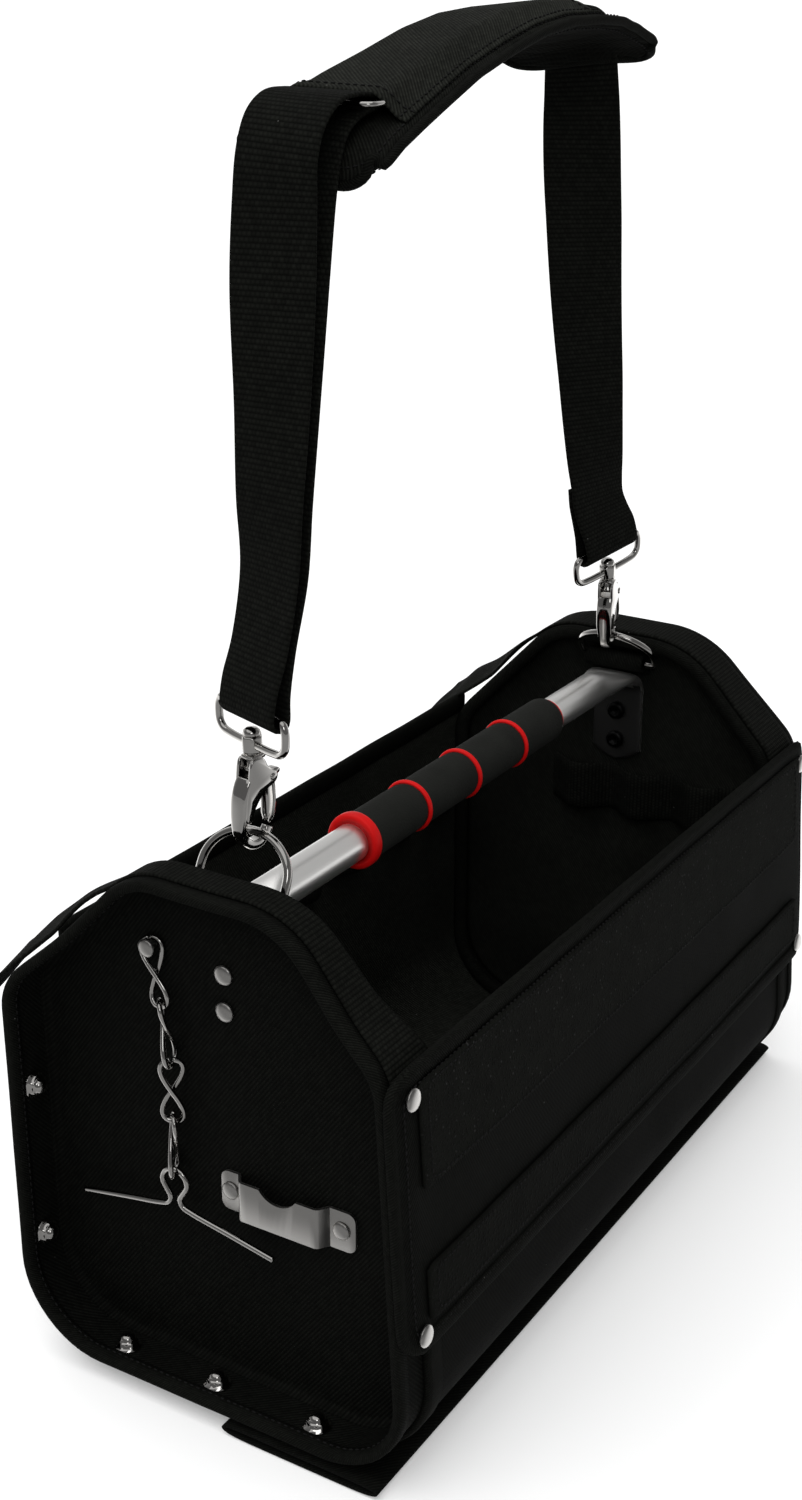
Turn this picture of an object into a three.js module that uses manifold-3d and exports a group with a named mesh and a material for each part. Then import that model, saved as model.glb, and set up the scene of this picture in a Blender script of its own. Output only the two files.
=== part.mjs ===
// An open tool bag with two stiff end trays, a cloth wrap, a bolted carrying handle and a shoulder strap.
// Millimetres, +Z up. X runs along the bag, the front panel faces -Y, and the chain hangs on the -X end.
// The bag is laid out from its own underside, then lowered so that the strap pad's underside is the origin.
import * as THREE from 'three';
import { mergeVertices } from 'three/addons/utils/BufferGeometryUtils.js';
import Module from 'manifold-3d';

const wasm = await Module();
wasm.setup();

// General clearances and cloth
const gap = 0.3;
const hangHeight = 608;
const wallThickness = 2.6;
const wrapThickness = 2.4;

// Ends: a panel set back inside a rim, with the rim leaning in a little at the arch
const rimReach = 235;
const rimLean = 9;
const leanStart = 195;
const leanEnd = 275;
const rimInner = 190;
const archRecede = 9;
const archSettle = 4.5;
const archCentre = 195;
const archFull = 240;
const panelOuter = 204.8;
const panelInner = 202.2;
const bindingDepth = 8;
const bindingProud = 0.8;
const bindingInside = 4.4;

// Corners of an end outline, from the back of the arch down, round the base and up to the front
const endCorners = [
  { y: 41, z: 275.5, radius: 40 },
  { y: 107.5, z: 205, radius: 35 },
  { y: 106.5, z: 10, radius: 46 },
  { y: -112, z: 10, radius: 42 },
  { y: -100, z: 214.5, radius: 28 },
  { y: -45.5, z: 274.5, radius: 54 },
];
const cornerSteps = 5;
const bandTails = {
  left: [[74, 249.5], [97, 231.5], [114, 217.5], [123, 210], [126.5, 203]],
  right: [[74, 252], [96, 238.5], [114, 224], [124, 214.5], [129, 208]],
};

// Cloth wrap: back wall, base and front wall in one length
const backTop = 214.5;
const frontTop = 206;
const backLength = 188;
const baseLength = 226.6;
const frontLength = 213;

// Front panel with its strips and rivets
const panelHalf = 235;
const panelTop = 216.5;
const panelLow = 79;
const panelCorner = 14;
const panelThickness = 3.5;
const hookStrip = { half: 214, top: 209, low: 158.6, thickness: 1.8 };
const loopStrip = { half: 214, top: 120, low: 94, thickness: 2.2 };
const rivetX = 222;
const rivetTop = 204;
const rivetLow = 88.5;
const rivetRadius = 5.6;
const rivetRise = 2.6;

// Flat sleeve under the front half of the base
const sleeveBack = -12;
const sleeveFront = -98;
const sleeveHeight = 7;
const sleeveWall = 2;

// Handle
const tubeRadius = 9.5;
const tubeHeight = 249.4;
const tabCentre = 199.6;
const tabHalfWidth = 15.6;
const tabHalfThick = 2.3;
const tabLow = 194;
const tabBend = 12;
const flattenFrom = 158;
const screwHeights = [225, 206.5];
const gripRadius = 12.6;
const gripFrom = -93;
const gripTo = 101;
const gripBore = tubeRadius + gap;
const gripEndLeft = { radius: 14.3, width: 6 };
const gripEndRight = { radius: 12.2, width: 2.4 };
const gripRingX = [-46, 5, 56];

// Cap nuts on the left rim
const nutX = -220;
const nutBaseY = [55, 1, -56];
const nutBackZ = [144.7, 62];

// Tape clip and chain on the left panel
const clip = { right: 4.5, left: -69.5, low: 103.5, top: 124, sheet: 1.5, rise: 5.5 };
const clipBridge = { right: -10, left: -51 };
const clipRivetY = [-0.9, -62];
const clipRivetZ = 114;
const chainRivet = { y: 39, z: 230.5 };
const linkLength = 35.2;
const linkWidth = 13;
const linkWire = 1.3;
const toggleHalf = 55.5;
const toggleWire = 1.5;

// D rings, their tabs and the two snap hooks
const ringBarX = 193;
const ringBarZ = 258.5;
const ringHeight = 30;
const ringLean = { left: 26.7, right: 43 };
const ringHalf = 23;
const ringShift = { left: 0, right: -4 };
const ringWire = 2;
const frameHalf = 25.2;
const frameWire = 2.4;
const frameTop = 19;
const frameLow = 3;
const bowCentre = -34.5;
const bowRadius = 9.6;
const hookWire = 3;
const gatePivot = { x: 8.4, z: -14 };
const hangers = {
  left: { spot: [-179, 0, 323.5], tilt: 0, lean: 0, frameTurn: -20, hookTurn: -7 },
  right: { spot: [163.8, -6, 318.2], tilt: 3, lean: -13, frameTurn: 73, hookTurn: 12 },
};

// Strap
const strapWidth = 40;
const strapThick = 2;

// Shoulder pad stations along the strap: roll is positive where the front edge hangs lower
const padStations = [
  { x: -126, z: 574, roll: 8, half: 35 },
  { x: -116, z: 577, roll: 5, half: 37.5 },
  { x: -99.2, z: 582.2, roll: 2, half: 37.5 },
  { x: -98.5, z: 582.4, roll: 2, half: 37.5 },
  { x: -80, z: 588.5, roll: 0, half: 37 },
  { x: -50, z: 599, roll: -6, half: 36 },
  { x: -19, z: 609.5, roll: -9, half: 35 },
  { x: 12, z: 614.6, roll: -8, half: 35 },
  { x: 40, z: 615, roll: -6, half: 36 },
  { x: 68, z: 613, roll: -6, half: 37 },
  { x: 71, z: 612.7, roll: -7, half: 37 },
  { x: 92, z: 610, roll: -7, half: 37 },
  { x: 104, z: 607.5, roll: -7, half: 34 },
];
const padMouth = [-98.5, 68];
const padThick = 4.5;
const padSleeve = 6;
const padEars = { left: 24, right: 26 };

const black = 0x1b1c1b;

function tidy(geometry) {
  const bare = new THREE.BufferGeometry();
  bare.setAttribute('position', geometry.getAttribute('position').clone());
  if (geometry.index) bare.setIndex(Array.from(geometry.index.array));
  const merged = mergeVertices(bare, 1e-4);
  const from = merged.index.array;
  const kept = [];
  for (let i = 0; i < from.length; i += 3) {
    const [a, b, c] = [from[i], from[i + 1], from[i + 2]];
    if (a !== b && b !== c && c !== a) kept.push(a, b, c);
  }
  const at = merged.getAttribute('position');
  const [p, q, r] = [new THREE.Vector3(), new THREE.Vector3(), new THREE.Vector3()];
  let volume = 0;
  for (let i = 0; i < kept.length; i += 3) {
    p.fromBufferAttribute(at, kept[i]);
    q.fromBufferAttribute(at, kept[i + 1]);
    r.fromBufferAttribute(at, kept[i + 2]);
    volume += p.dot(q.cross(r));
  }
  if (volume < 0) {
    for (let i = 0; i < kept.length; i += 3) [kept[i + 1], kept[i + 2]] = [kept[i + 2], kept[i + 1]];
  }
  merged.setIndex(kept);
  return merged;
}

function toSolid(geometry) {
  const clean = tidy(geometry);
  const vertProperties = new Float32Array(clean.getAttribute('position').array);
  const triVerts = new Uint32Array(clean.index.array);
  return new wasm.Manifold(new wasm.Mesh({ numProp: 3, vertProperties, triVerts }));
}

function fromSolid(solid) {
  const mesh = solid.getMesh();
  const geometry = new THREE.BufferGeometry();
  geometry.setAttribute('position', new THREE.BufferAttribute(new Float32Array(mesh.vertProperties), 3));
  geometry.setIndex(Array.from(mesh.triVerts));
  return geometry;
}

function join(...geometries) {
  return fromSolid(geometries.map(toSolid).reduce((a, b) => a.add(b)));
}

function cut(geometry, ...tools) {
  return fromSolid(tools.map(toSolid).reduce((a, b) => a.subtract(b), toSolid(geometry)));
}

function smooth(value, from, to) {
  return THREE.MathUtils.smoothstep(value, from, to);
}

// A solid through rings of points that all have the same count: open ends are closed with flat fans
function loft(rings, closed = false) {
  const count = rings[0].length;
  const points = rings.flat();
  const index = [];
  const last = closed ? rings.length : rings.length - 1;
  for (let i = 0; i < last; i++) {
    const next = (i + 1) % rings.length;
    for (let j = 0; j < count; j++) {
      const k = (j + 1) % count;
      const [a, b] = [i * count + j, i * count + k];
      const [c, d] = [next * count + k, next * count + j];
      index.push(a, b, c, a, c, d);
    }
  }
  if (!closed) {
    const end = (rings.length - 1) * count;
    for (let j = 1; j < count - 1; j++) {
      index.push(0, j + 1, j);
      index.push(end, end + j, end + j + 1);
    }
  }
  const geometry = new THREE.BufferGeometry().setFromPoints(points);
  geometry.setIndex(index);
  return geometry;
}

// A box with a grid on its broad faces, each vertex moved by place(u, v, w) with w from 0 to 1 through it
function sheet(us, vs, place) {
  const geometry = new THREE.BoxGeometry(1, 1, 1, us.length - 1, vs.length - 1, 1);
  const at = geometry.getAttribute('position');
  for (let i = 0; i < at.count; i++) {
    const u = us[Math.round((at.getX(i) + 0.5) * (us.length - 1))];
    const v = vs[Math.round((at.getY(i) + 0.5) * (vs.length - 1))];
    const p = place(u, v, at.getZ(i) + 0.5);
    at.setXYZ(i, p.x, p.y, p.z);
  }
  return geometry;
}

function spread(from, to, steps) {
  return Array.from({ length: steps + 1 }, (_, i) => from + (to - from) * i / steps);
}

function polygon(radius, sides) {
  return spread(0, 2 * Math.PI, sides).slice(0, sides)
    .map((a) => new THREE.Vector2(radius * Math.cos(a), radius * Math.sin(a)));
}

// Round wire along a smooth line through the points
function wire(points, radius, sides, steps) {
  const extrudePath = new THREE.CatmullRomCurve3(points, false, 'centripetal');
  const section = new THREE.Shape(polygon(radius, sides));
  return new THREE.ExtrudeGeometry(section, { steps, bevelEnabled: false, extrudePath });
}

// A turned piece about Z from [radius, height] pairs
function turned(profile, segments = 12) {
  const points = profile.map(([r, h]) => new THREE.Vector2(r, h));
  return new THREE.LatheGeometry(points, segments).rotateX(Math.PI / 2);
}

function cylinderAlongX(radius, from, to, y, z, sides = 12) {
  const geometry = new THREE.CylinderGeometry(radius, radius, to - from, sides);
  return geometry.rotateZ(Math.PI / 2).translate((from + to) / 2, y, z);
}

function boxBetween(low, high) {
  const geometry = new THREE.BoxGeometry(high[0] - low[0], high[1] - low[1], high[2] - low[2]);
  return geometry.translate((low[0] + high[0]) / 2, (low[1] + high[1]) / 2, (low[2] + high[2]) / 2);
}

const bag = new THREE.Group();
bag.position.z = -hangHeight;

function add(name, geometry, colour, roughness, metalness, parent = bag) {
  const material = new THREE.MeshStandardMaterial({ color: colour, roughness, metalness });
  const mesh = new THREE.Mesh(tidy(geometry), material);
  mesh.name = name;
  parent.add(mesh);
  return mesh;
}

const cloth = (name, geometry, parent) => add(name, geometry, black, 0.9, 0, parent);
const chrome = (name, geometry, parent) => add(name, geometry, 0xc9cacb, 0.2, 1, parent);
const steel = (name, geometry, parent) => add(name, geometry, 0xb9babc, 0.35, 1, parent);

// The end outline moved in by an inset, as [y, z] points with the same count for every inset
function endOutline(inset) {
  const corners = endCorners.map((c) => new THREE.Vector2(c.y, c.z));
  const count = corners.length;
  const edges = corners.map((from, i) => {
    const along = corners[(i + 1) % count].clone().sub(from).normalize();
    return { from, along, inward: new THREE.Vector2(along.y, -along.x) };
  });
  const points = [];
  for (let i = 0; i < count; i++) {
    const before = edges[(i + count - 1) % count];
    const after = edges[i];
    const bisector = before.inward.clone().add(after.inward).normalize();
    const spreadCos = bisector.dot(after.inward);
    const radius = endCorners[i].radius - inset;
    const corner = corners[i].clone().addScaledVector(bisector, inset / spreadCos);
    const centre = corner.addScaledVector(bisector, radius / spreadCos);
    const start = before.inward.clone().negate();
    const turn = Math.atan2(
      start.x * -after.inward.y + start.y * after.inward.x,
      -start.dot(after.inward),
    );
    for (let k = 0; k <= cornerSteps; k++) {
      const arm = start.clone().rotateAround(new THREE.Vector2(), turn * k / cornerSteps);
      points.push(centre.clone().addScaledVector(arm, radius));
    }
  }
  return points;
}

function rimX(z) {
  return rimReach - rimLean * smooth(z, leanStart, leanEnd);
}

// The inner edge of a rim: it draws back over the left arch
function innerX(side) {
  return (z) => rimInner + (side < 0 ? archRecede * smooth(z, archCentre, archFull) : 0);
}

// The left arch has settled: it is a little lower than the right one
function settled(point) {
  if (point.x > 0) return point;
  const drop = smooth(point.z, archCentre, archFull) * archSettle;
  const towards = new THREE.Vector3(point.x, 0, archCentre).sub(point).normalize();
  return point.addScaledVector(towards, drop);
}

function ringAt(inset, xOf, side) {
  return endOutline(inset).map((p) => settled(new THREE.Vector3(side * xOf(p.y), p.x, p.y)));
}

const screwRadius = 2.5;

function endTray(side) {
  const rings = [
    ringAt(wallThickness, () => panelInner, side),
    ringAt(wallThickness, innerX(side), side),
    ringAt(0, innerX(side), side),
    ringAt(0, (z) => rimX(z) - bindingDepth, side),
    ringAt(wallThickness, (z) => rimX(z) - bindingDepth, side),
    ringAt(wallThickness, () => panelOuter, side),
  ];
  const holes = screwHeights.map((z) => (
    cylinderAlongX(screwRadius + gap, side * 203.5 - 5, side * 203.5 + 5, 0, z)
  ));
  return cut(tidy(loft(rings)), ...holes);
}

function rimBinding(side) {
  const back = (z) => rimX(z) - bindingDepth + gap;
  const rings = [
    ringAt(-bindingProud, back, side),
    ringAt(-bindingProud, (z) => rimX(z) - 2, side),
    ringAt(0.8, rimX, side),
    ringAt(2.8, rimX, side),
    ringAt(bindingInside, (z) => rimX(z) - 2, side),
    ringAt(bindingInside, back, side),
  ];
  return loft(rings, true);
}

// Webbing over an arch, which leaves the rim at the back and ends in a loose tail
function archBand(side, tail) {
  const outline = endOutline(-gap - 0.9);
  const perCorner = cornerSteps + 1;
  const front = outline.slice(4 * perCorner + 1, 6 * perCorner);
  const back = outline.slice(0, perCorner);
  const worn = front.length + back.length;
  const path = [...front, ...back, ...tail.map(([y, z]) => new THREE.Vector2(y, z))];
  const along = path.map((p, i) => {
    const a = path[Math.max(i - 1, 0)];
    const b = path[Math.min(i + 1, path.length - 1)];
    return b.clone().sub(a).normalize();
  });
  return sheet(path.map((_, i) => i), [0, 1], (i, v, w) => {
    const inner = innerX(side)(i < worn ? path[i].y : archFull) + 3;
    const x = v === 0 ? inner : rimX(path[i].y) - bindingDepth - 0.4;
    const shift = (w - 0.5) * 1.8;
    const free = new THREE.Vector3(side * x, path[i].x - along[i].y * shift, path[i].y + along[i].x * shift);
    return settled(free.clone()).lerp(free, smooth(path[i].x, 50, 80));
  });
}

for (const [word, side] of [['left', -1], ['right', 1]]) {
  cloth(`end_tray_${word}`, endTray(side));
  cloth(`rim_binding_${word}`, rimBinding(side));
  cloth(`arch_band_${word}`, archBand(side, bandTails[word]));
}

// Back wall, base and front wall follow the outside of the end outline
function bodyWrap() {
  const perCorner = cornerSteps + 1;
  const run = (inset) => {
    const outline = endOutline(inset);
    const back = outline[2 * perCorner - 1];
    const rear = outline[2 * perCorner];
    const up = (z) => new THREE.Vector2(back.x + (back.x - rear.x) * (z - back.y) / (back.y - rear.y), z);
    const low = outline[4 * perCorner - 1];
    const high = outline[4 * perCorner];
    const rise = (z) => new THREE.Vector2(low.x + (high.x - low.x) * (z - low.y) / (high.y - low.y), z);
    return [
      up(backTop), up(198), up(188), up(130),
      ...outline.slice(2 * perCorner, 4 * perCorner),
      rise(130), rise(frontTop),
    ];
  };
  const inner = run(-gap);
  const outer = run(-gap - wrapThickness);
  const count = inner.length;
  const lengths = inner.map((p, i) => {
    if (i < 2) return backLength;
    return THREE.MathUtils.lerp(baseLength, frontLength, smooth(i, 3 + perCorner, 4 + 1.5 * perCorner));
  });
  const shares = [-1, 0, 1];
  return sheet(spread(0, count - 1, count - 1), shares, (i, share, w) => {
    const p = inner[i].clone().lerp(outer[i], w);
    return new THREE.Vector3(share * lengths[i], p.x, p.y);
  });
}
cloth('body_wrap', bodyWrap());

// The front line of the ends, which the front panel stands off
const frontSlope = (endCorners[4].y - endCorners[3].y) / (endCorners[4].z - endCorners[3].z);
const frontY = (z) => endCorners[3].y + frontSlope * (z - endCorners[3].z);
const panelBack = gap + wrapThickness + gap;

function frontSheet(half, top, low, corner, back, thickness) {
  const ends = [0, 0.15, 0.45, 1].map((t) => half - corner * (1 - t));
  const us = [...ends.map((x) => -x).reverse(), -half / 2, 0, half / 2, ...ends];
  return sheet(us, [0, 1], (x, v, w) => {
    const over = Math.max(Math.abs(x) - (half - corner), 0);
    const drop = corner - Math.sqrt(corner * corner - over * over);
    const z = THREE.MathUtils.lerp(top - drop, low + drop, v);
    return new THREE.Vector3(x, frontY(z) - back - thickness * w, z);
  });
}
cloth('front_panel', frontSheet(panelHalf, panelTop, panelLow, panelCorner, panelBack, panelThickness));
const stripBack = panelBack + panelThickness + gap;
for (const [name, strip] of [['hook_strip', hookStrip], ['loop_strip', loopStrip]]) {
  cloth(name, frontSheet(strip.half, strip.top, strip.low, 7, stripBack, strip.thickness));
}

const domeProfile = (radius, rise) => [
  [0, 0], [radius, 0], [radius, rise * 0.3],
  [radius * 0.82, rise * 0.7], [radius * 0.45, rise * 0.95], [0, rise],
];
const frontTilt = Math.PI / 2 - Math.atan(frontSlope);
for (const [word, x] of [['left', -rivetX], ['right', rivetX]]) {
  for (const [level, z] of [['top', rivetTop], ['low', rivetLow]]) {
    const rivet = turned(domeProfile(rivetRadius, rivetRise)).rotateX(frontTilt);
    chrome(`panel_rivet_${word}_${level}`, rivet.translate(x, frontY(z) - stripBack, z));
  }
}

// Flat sleeve under the base, open at both ends
function slot(low, high, bottom, top) {
  const radius = (top - bottom) / 2;
  const shape = new THREE.Shape();
  shape.absarc(high - radius, bottom + radius, radius, -Math.PI / 2, Math.PI / 2);
  shape.absarc(low + radius, bottom + radius, radius, Math.PI / 2, 1.5 * Math.PI);
  shape.closePath();
  return shape;
}
const sleeveShape = slot(sleeveFront, sleeveBack, 0, sleeveHeight);
const sleeveInside = [sleeveFront + sleeveWall, sleeveBack - sleeveWall];
sleeveShape.holes.push(slot(...sleeveInside, sleeveWall, sleeveHeight - sleeveWall));
const sleeve = new THREE.ExtrudeGeometry(sleeveShape, {
  depth: 2 * rimReach, bevelEnabled: false, curveSegments: 5,
});
cloth('base_sleeve', sleeve.translate(0, 0, -rimReach).rotateX(Math.PI / 2).rotateZ(Math.PI / 2));

// Handle: a round tube, pressed flat at each end and bent down into a bolted tab
function handleTube() {
  const half = [];
  const bendX = tabCentre - tabBend;
  const bendZ = tubeHeight - tabBend;
  for (const x of [60, flattenFrom, 166, 174, 181, bendX]) {
    half.push({ x, z: tubeHeight, nx: 0, nz: 1, flat: smooth(x, flattenFrom, bendX + 6) });
  }
  for (const angle of [22.5, 45, 67.5, 90].map(THREE.MathUtils.degToRad)) {
    const [nx, nz] = [Math.sin(angle), Math.cos(angle)];
    const flat = 0.85 + 0.15 * (angle / Math.PI * 2);
    half.push({ x: bendX + tabBend * nx, z: bendZ + tabBend * nz, nx, nz, flat });
  }
  for (const [rise, narrow] of [[9, 1], [5, 0.93], [2, 0.74], [0, 0.45]]) {
    half.push({ x: tabCentre, z: tabLow + rise, nx: 1, nz: 0, flat: 1, narrow });
  }
  const mirrored = half.map((s) => ({ ...s, x: -s.x, nx: -s.nx })).reverse();
  const rings = [...mirrored, ...half].map((s) => {
    const wide = THREE.MathUtils.lerp(tubeRadius, tabHalfWidth, s.flat) * (s.narrow ?? 1);
    const thick = THREE.MathUtils.lerp(tubeRadius, tabHalfThick, s.flat);
    const power = THREE.MathUtils.lerp(1, 0.45, s.flat);
    return spread(0, 2 * Math.PI, 12).slice(0, 12).map((a) => {
      const up = Math.sign(Math.sin(a)) * Math.abs(Math.sin(a)) ** power * thick;
      return new THREE.Vector3(s.x + s.nx * up, wide * Math.cos(a), s.z + s.nz * up);
    });
  });
  const holes = [-1, 1].flatMap((side) => screwHeights.map((z) => (
    cylinderAlongX(screwRadius + gap, side * tabCentre - 6, side * tabCentre + 6, 0, z)
  )));
  return cut(loft(rings), ...holes);
}
steel('handle_tube', handleTube());

// Foam grip, its red end collars and the thin red rings round it
function ringAlongX(inner, outer, from, to, segments = 16) {
  const profile = [[inner, from], [outer, from], [outer, to], [inner, to], [inner, from]];
  return turned(profile, segments).rotateY(Math.PI / 2).translate(0, 0, tubeHeight);
}
add('handle_grip', ringAlongX(gripBore, gripRadius, gripFrom, gripTo), 0x1c1c1d, 0.95, 0);
const red = (name, geometry) => add(name, geometry, 0xb02028, 0.5, 0);
const collarLeft = gripFrom - gap;
const collarRight = gripTo + gap;
red('grip_end_left', ringAlongX(gripBore, gripEndLeft.radius, collarLeft - gripEndLeft.width, collarLeft));
const collarEnd = collarRight + gripEndRight.width;
red('grip_end_right', ringAlongX(gripBore, gripEndRight.radius, collarRight, collarEnd));
gripRingX.forEach((x, i) => {
  red(`grip_ring_${i + 1}`, ringAlongX(gripRadius + gap, gripRadius + 1.3, x - 1.6, x + 1.6));
});

// Each screw clamps the handle's tab to the panel: a domed head outside, a socket head inside
function handleScrew(side, z) {
  const outside = panelOuter + gap;
  const inside = tabCentre - tabHalfThick - gap;
  const profile = [
    [0, inside - 1], [2.4, inside - 1], [2.4, inside - 2.9], [4.4, inside - 2.9],
    [5.5, inside - 1.2], [5.5, inside], [screwRadius, inside], [screwRadius, outside],
    [5.5, outside], [5.2, outside + 1.2], [3.4, outside + 2.4], [0, outside + 2.8],
  ];
  return turned(profile, 8).rotateY(side * Math.PI / 2).translate(0, 0, z);
}
for (const [word, side] of [['left', -1], ['right', 1]]) {
  screwHeights.forEach((z, i) => steel(`handle_screw_${word}_${i + 1}`, handleScrew(side, z)));
}

// Domed cap nuts inside the left rim
function capNut() {
  const hexRing = (scale, height) => spread(0, 2 * Math.PI, 12).slice(0, 12).map((a, i) => {
    const radius = (i % 2 ? Math.cos(Math.PI / 6) : 1) * scale;
    return new THREE.Vector3(radius * Math.cos(a), radius * Math.sin(a), height);
  });
  const roundRing = (radius, height) => spread(0, 2 * Math.PI, 12).slice(0, 12)
    .map((a) => new THREE.Vector3(radius * Math.cos(a), radius * Math.sin(a), height));
  const dome = [[4, 3.4], [3.4, 5.4], [1.4, 6.8]].map(([r, h]) => roundRing(r, h));
  return loft([hexRing(5.2, 0), hexRing(5.2, 3.3), ...dome]);
}
nutBaseY.forEach((y, i) => {
  chrome(`cap_nut_base_${i + 1}`, capNut().translate(nutX, y, endCorners[2].z + wallThickness + gap));
});
const backY = (z) => endCorners[2].y + (z - endCorners[2].z) * (endCorners[1].y - endCorners[2].y)
  / (endCorners[1].z - endCorners[2].z);
nutBackZ.forEach((z, i) => {
  const seatY = backY(z) - wallThickness - gap;
  chrome(`cap_nut_back_${i + 1}`, capNut().rotateX(Math.PI / 2).translate(nutX, seatY, z));
});

// Bent sheet clip for a tape measure, with a thumb notch
function tapeClip() {
  const base = panelOuter + gap;
  const profile = [
    [clip.right, 0], [clipBridge.right + 4, 0], [clipBridge.right, clip.rise],
    [clipBridge.left, clip.rise], [clipBridge.left - 4, 0], [clip.left, 0],
  ];
  const topSide = profile.map(([y, rise]) => [y, rise + clip.sheet]).reverse();
  const section = [...profile, ...topSide].map(([y, rise]) => new THREE.Vector2(y, -base - rise));
  const shape = new THREE.Shape(section);
  const plate = new THREE.ExtrudeGeometry(shape, { depth: clip.top - clip.low, bevelEnabled: false });
  const notchY = (clipBridge.right + clipBridge.left) / 2;
  const notch = cylinderAlongX(12, -base - 20, -base, notchY, clip.top + 6.5, 28);
  return cut(plate.rotateZ(Math.PI / 2).scale(-1, 1, 1).translate(0, 0, clip.low), notch);
}
chrome('tape_clip', tapeClip());
clipRivetY.forEach((y, i) => {
  const head = turned(domeProfile(4.6, 1.9), 12).rotateY(-Math.PI / 2);
  chrome(`clip_rivet_${i + 1}`, head.translate(-panelOuter - 2 * gap - clip.sheet, y, clipRivetZ));
});

// The chain hangs from a shouldered rivet: its cap holds the first link against the panel
const rivetNeck = 5.4;
chrome('chain_rivet', turned([
  [0, 0], [2.2, 0], [2.2, rivetNeck], [4.4, rivetNeck], [4.2, rivetNeck + 0.9], [2.6, rivetNeck + 1.7],
  [0, rivetNeck + 2],
], 12).rotateY(-Math.PI / 2).translate(-panelOuter - gap, chainRivet.y, chainRivet.z));

// A figure-eight link in its own X-Z plane, its wire ends meeting at the top
function chainLink() {
  const reach = linkLength / 2 - linkWire;
  const points = spread(0.04, 2 * Math.PI - 0.04, 28).map((t) => {
    const across = Math.sin(2 * t) * (linkWidth / 2 - linkWire);
    return new THREE.Vector3(across, 1.5 * Math.sin(t), reach * Math.cos(t));
  });
  return wire(points, linkWire, 5, 20);
}
const linkReach = linkLength - 2 * linkWire;
const linkHold = 2 * linkWire + 2 * gap;
const chainHang = [
  { turn: 0, leanX: -0.16, leanY: -0.28 },
  { turn: -68, leanX: 0, leanY: -0.15 },
  { turn: 28, leanX: 0, leanY: 0.01 },
  { turn: -58, leanX: 0, leanY: 0.03 },
];
const chainSeat = -panelOuter - 2 * gap - linkWire;
const chainEnd = new THREE.Vector3(chainSeat, chainRivet.y + 0.7, chainRivet.z + 2.2 + linkWire + gap);
chainHang.forEach((link, i) => {
  const down = new THREE.Vector3(link.leanX, link.leanY, -1).normalize();
  const up = down.clone().negate();
  const swing = THREE.MathUtils.degToRad(link.turn);
  const width = new THREE.Vector3(-Math.sin(swing), Math.cos(swing), 0);
  width.addScaledVector(up, -width.dot(up)).normalize();
  if (i > 0) chainEnd.addScaledVector(down, -linkHold);
  const holder = new THREE.Group();
  holder.position.copy(chainEnd).addScaledVector(down, linkReach / 2);
  const basis = new THREE.Matrix4().makeBasis(width, up.clone().cross(width), up);
  holder.quaternion.setFromRotationMatrix(basis);
  bag.add(holder);
  chrome(`chain_link_${i + 1}`, chainLink(), holder);
  chainEnd.addScaledVector(down, linkReach);
});

// Cross bar bent from one wire, with a loop in the middle that the last link holds
const loopTop = 20.5;
const toggleZ = chainEnd.z + linkWire + toggleWire + gap - loopTop;
const toggleSide = [
  [toggleHalf, -9.5], [30, -4.6], [9, -0.7], [4.4, 0.9], [2.6, 4.6], [5, 9], [7.2, 13.4], [5.2, 18.4],
];
const toggleLine = [...toggleSide.map(([y, z]) => [-y, z]), [0, loopTop], ...toggleSide.reverse()];
chrome('chain_toggle', wire(toggleLine.map(([y, z]) => (
  new THREE.Vector3(chainEnd.x, chainEnd.y + y, toggleZ + z)
)), toggleWire, 5, 28));

// D ring: a straight bar in its tab, and a bow that leans in over the bag
function strapRing(side, shift, leanDegrees) {
  const lean = THREE.MathUtils.degToRad(leanDegrees);
  const bow = spread(0, 180, 12).map(THREE.MathUtils.degToRad).map((a) => [
    ringHalf * Math.cos(a), ringHeight - 19 + 19 * Math.sin(a),
  ]);
  const corner = [[10, 0], [18.6, 0], [21.6, 1], [22.7, 3.6]];
  const far = corner.map(([y, up]) => [-y, up]).reverse();
  const line = [[0.25, 0], ...corner, ...bow, ...far, [-0.25, 0]];
  return wire(line.map(([y, up]) => new THREE.Vector3(
    side * (ringBarX - up * Math.sin(lean)), y + shift, ringBarZ + up * Math.cos(lean),
  )), ringWire, 6, 22);
}

// Cloth tab folded round the bar of a D ring and sewn to the end panel
function ringTab(side) {
  const outer = 4.4;
  const half = 14.4;
  const roll = new THREE.CylinderGeometry(outer, outer, 2 * half, 14);
  const bore = new THREE.CylinderGeometry(ringWire + gap, ringWire + gap, 2 * half + 4, 12);
  const place = (g) => g.translate(ringBarX, 0, ringBarZ);
  const neck = boxBetween([ringBarX + 2, -half, ringBarZ - 1.6], [panelInner - 1.4, half, ringBarZ + 1.6]);
  const seat = panelInner - gap;
  const foot = boxBetween([seat - 2, -half, ringBarZ - 9], [seat, half, ringBarZ + 6]);
  const whole = cut(join(place(roll), neck, foot), place(bore));
  return side > 0 ? whole : whole.scale(-1, 1, 1);
}

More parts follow.
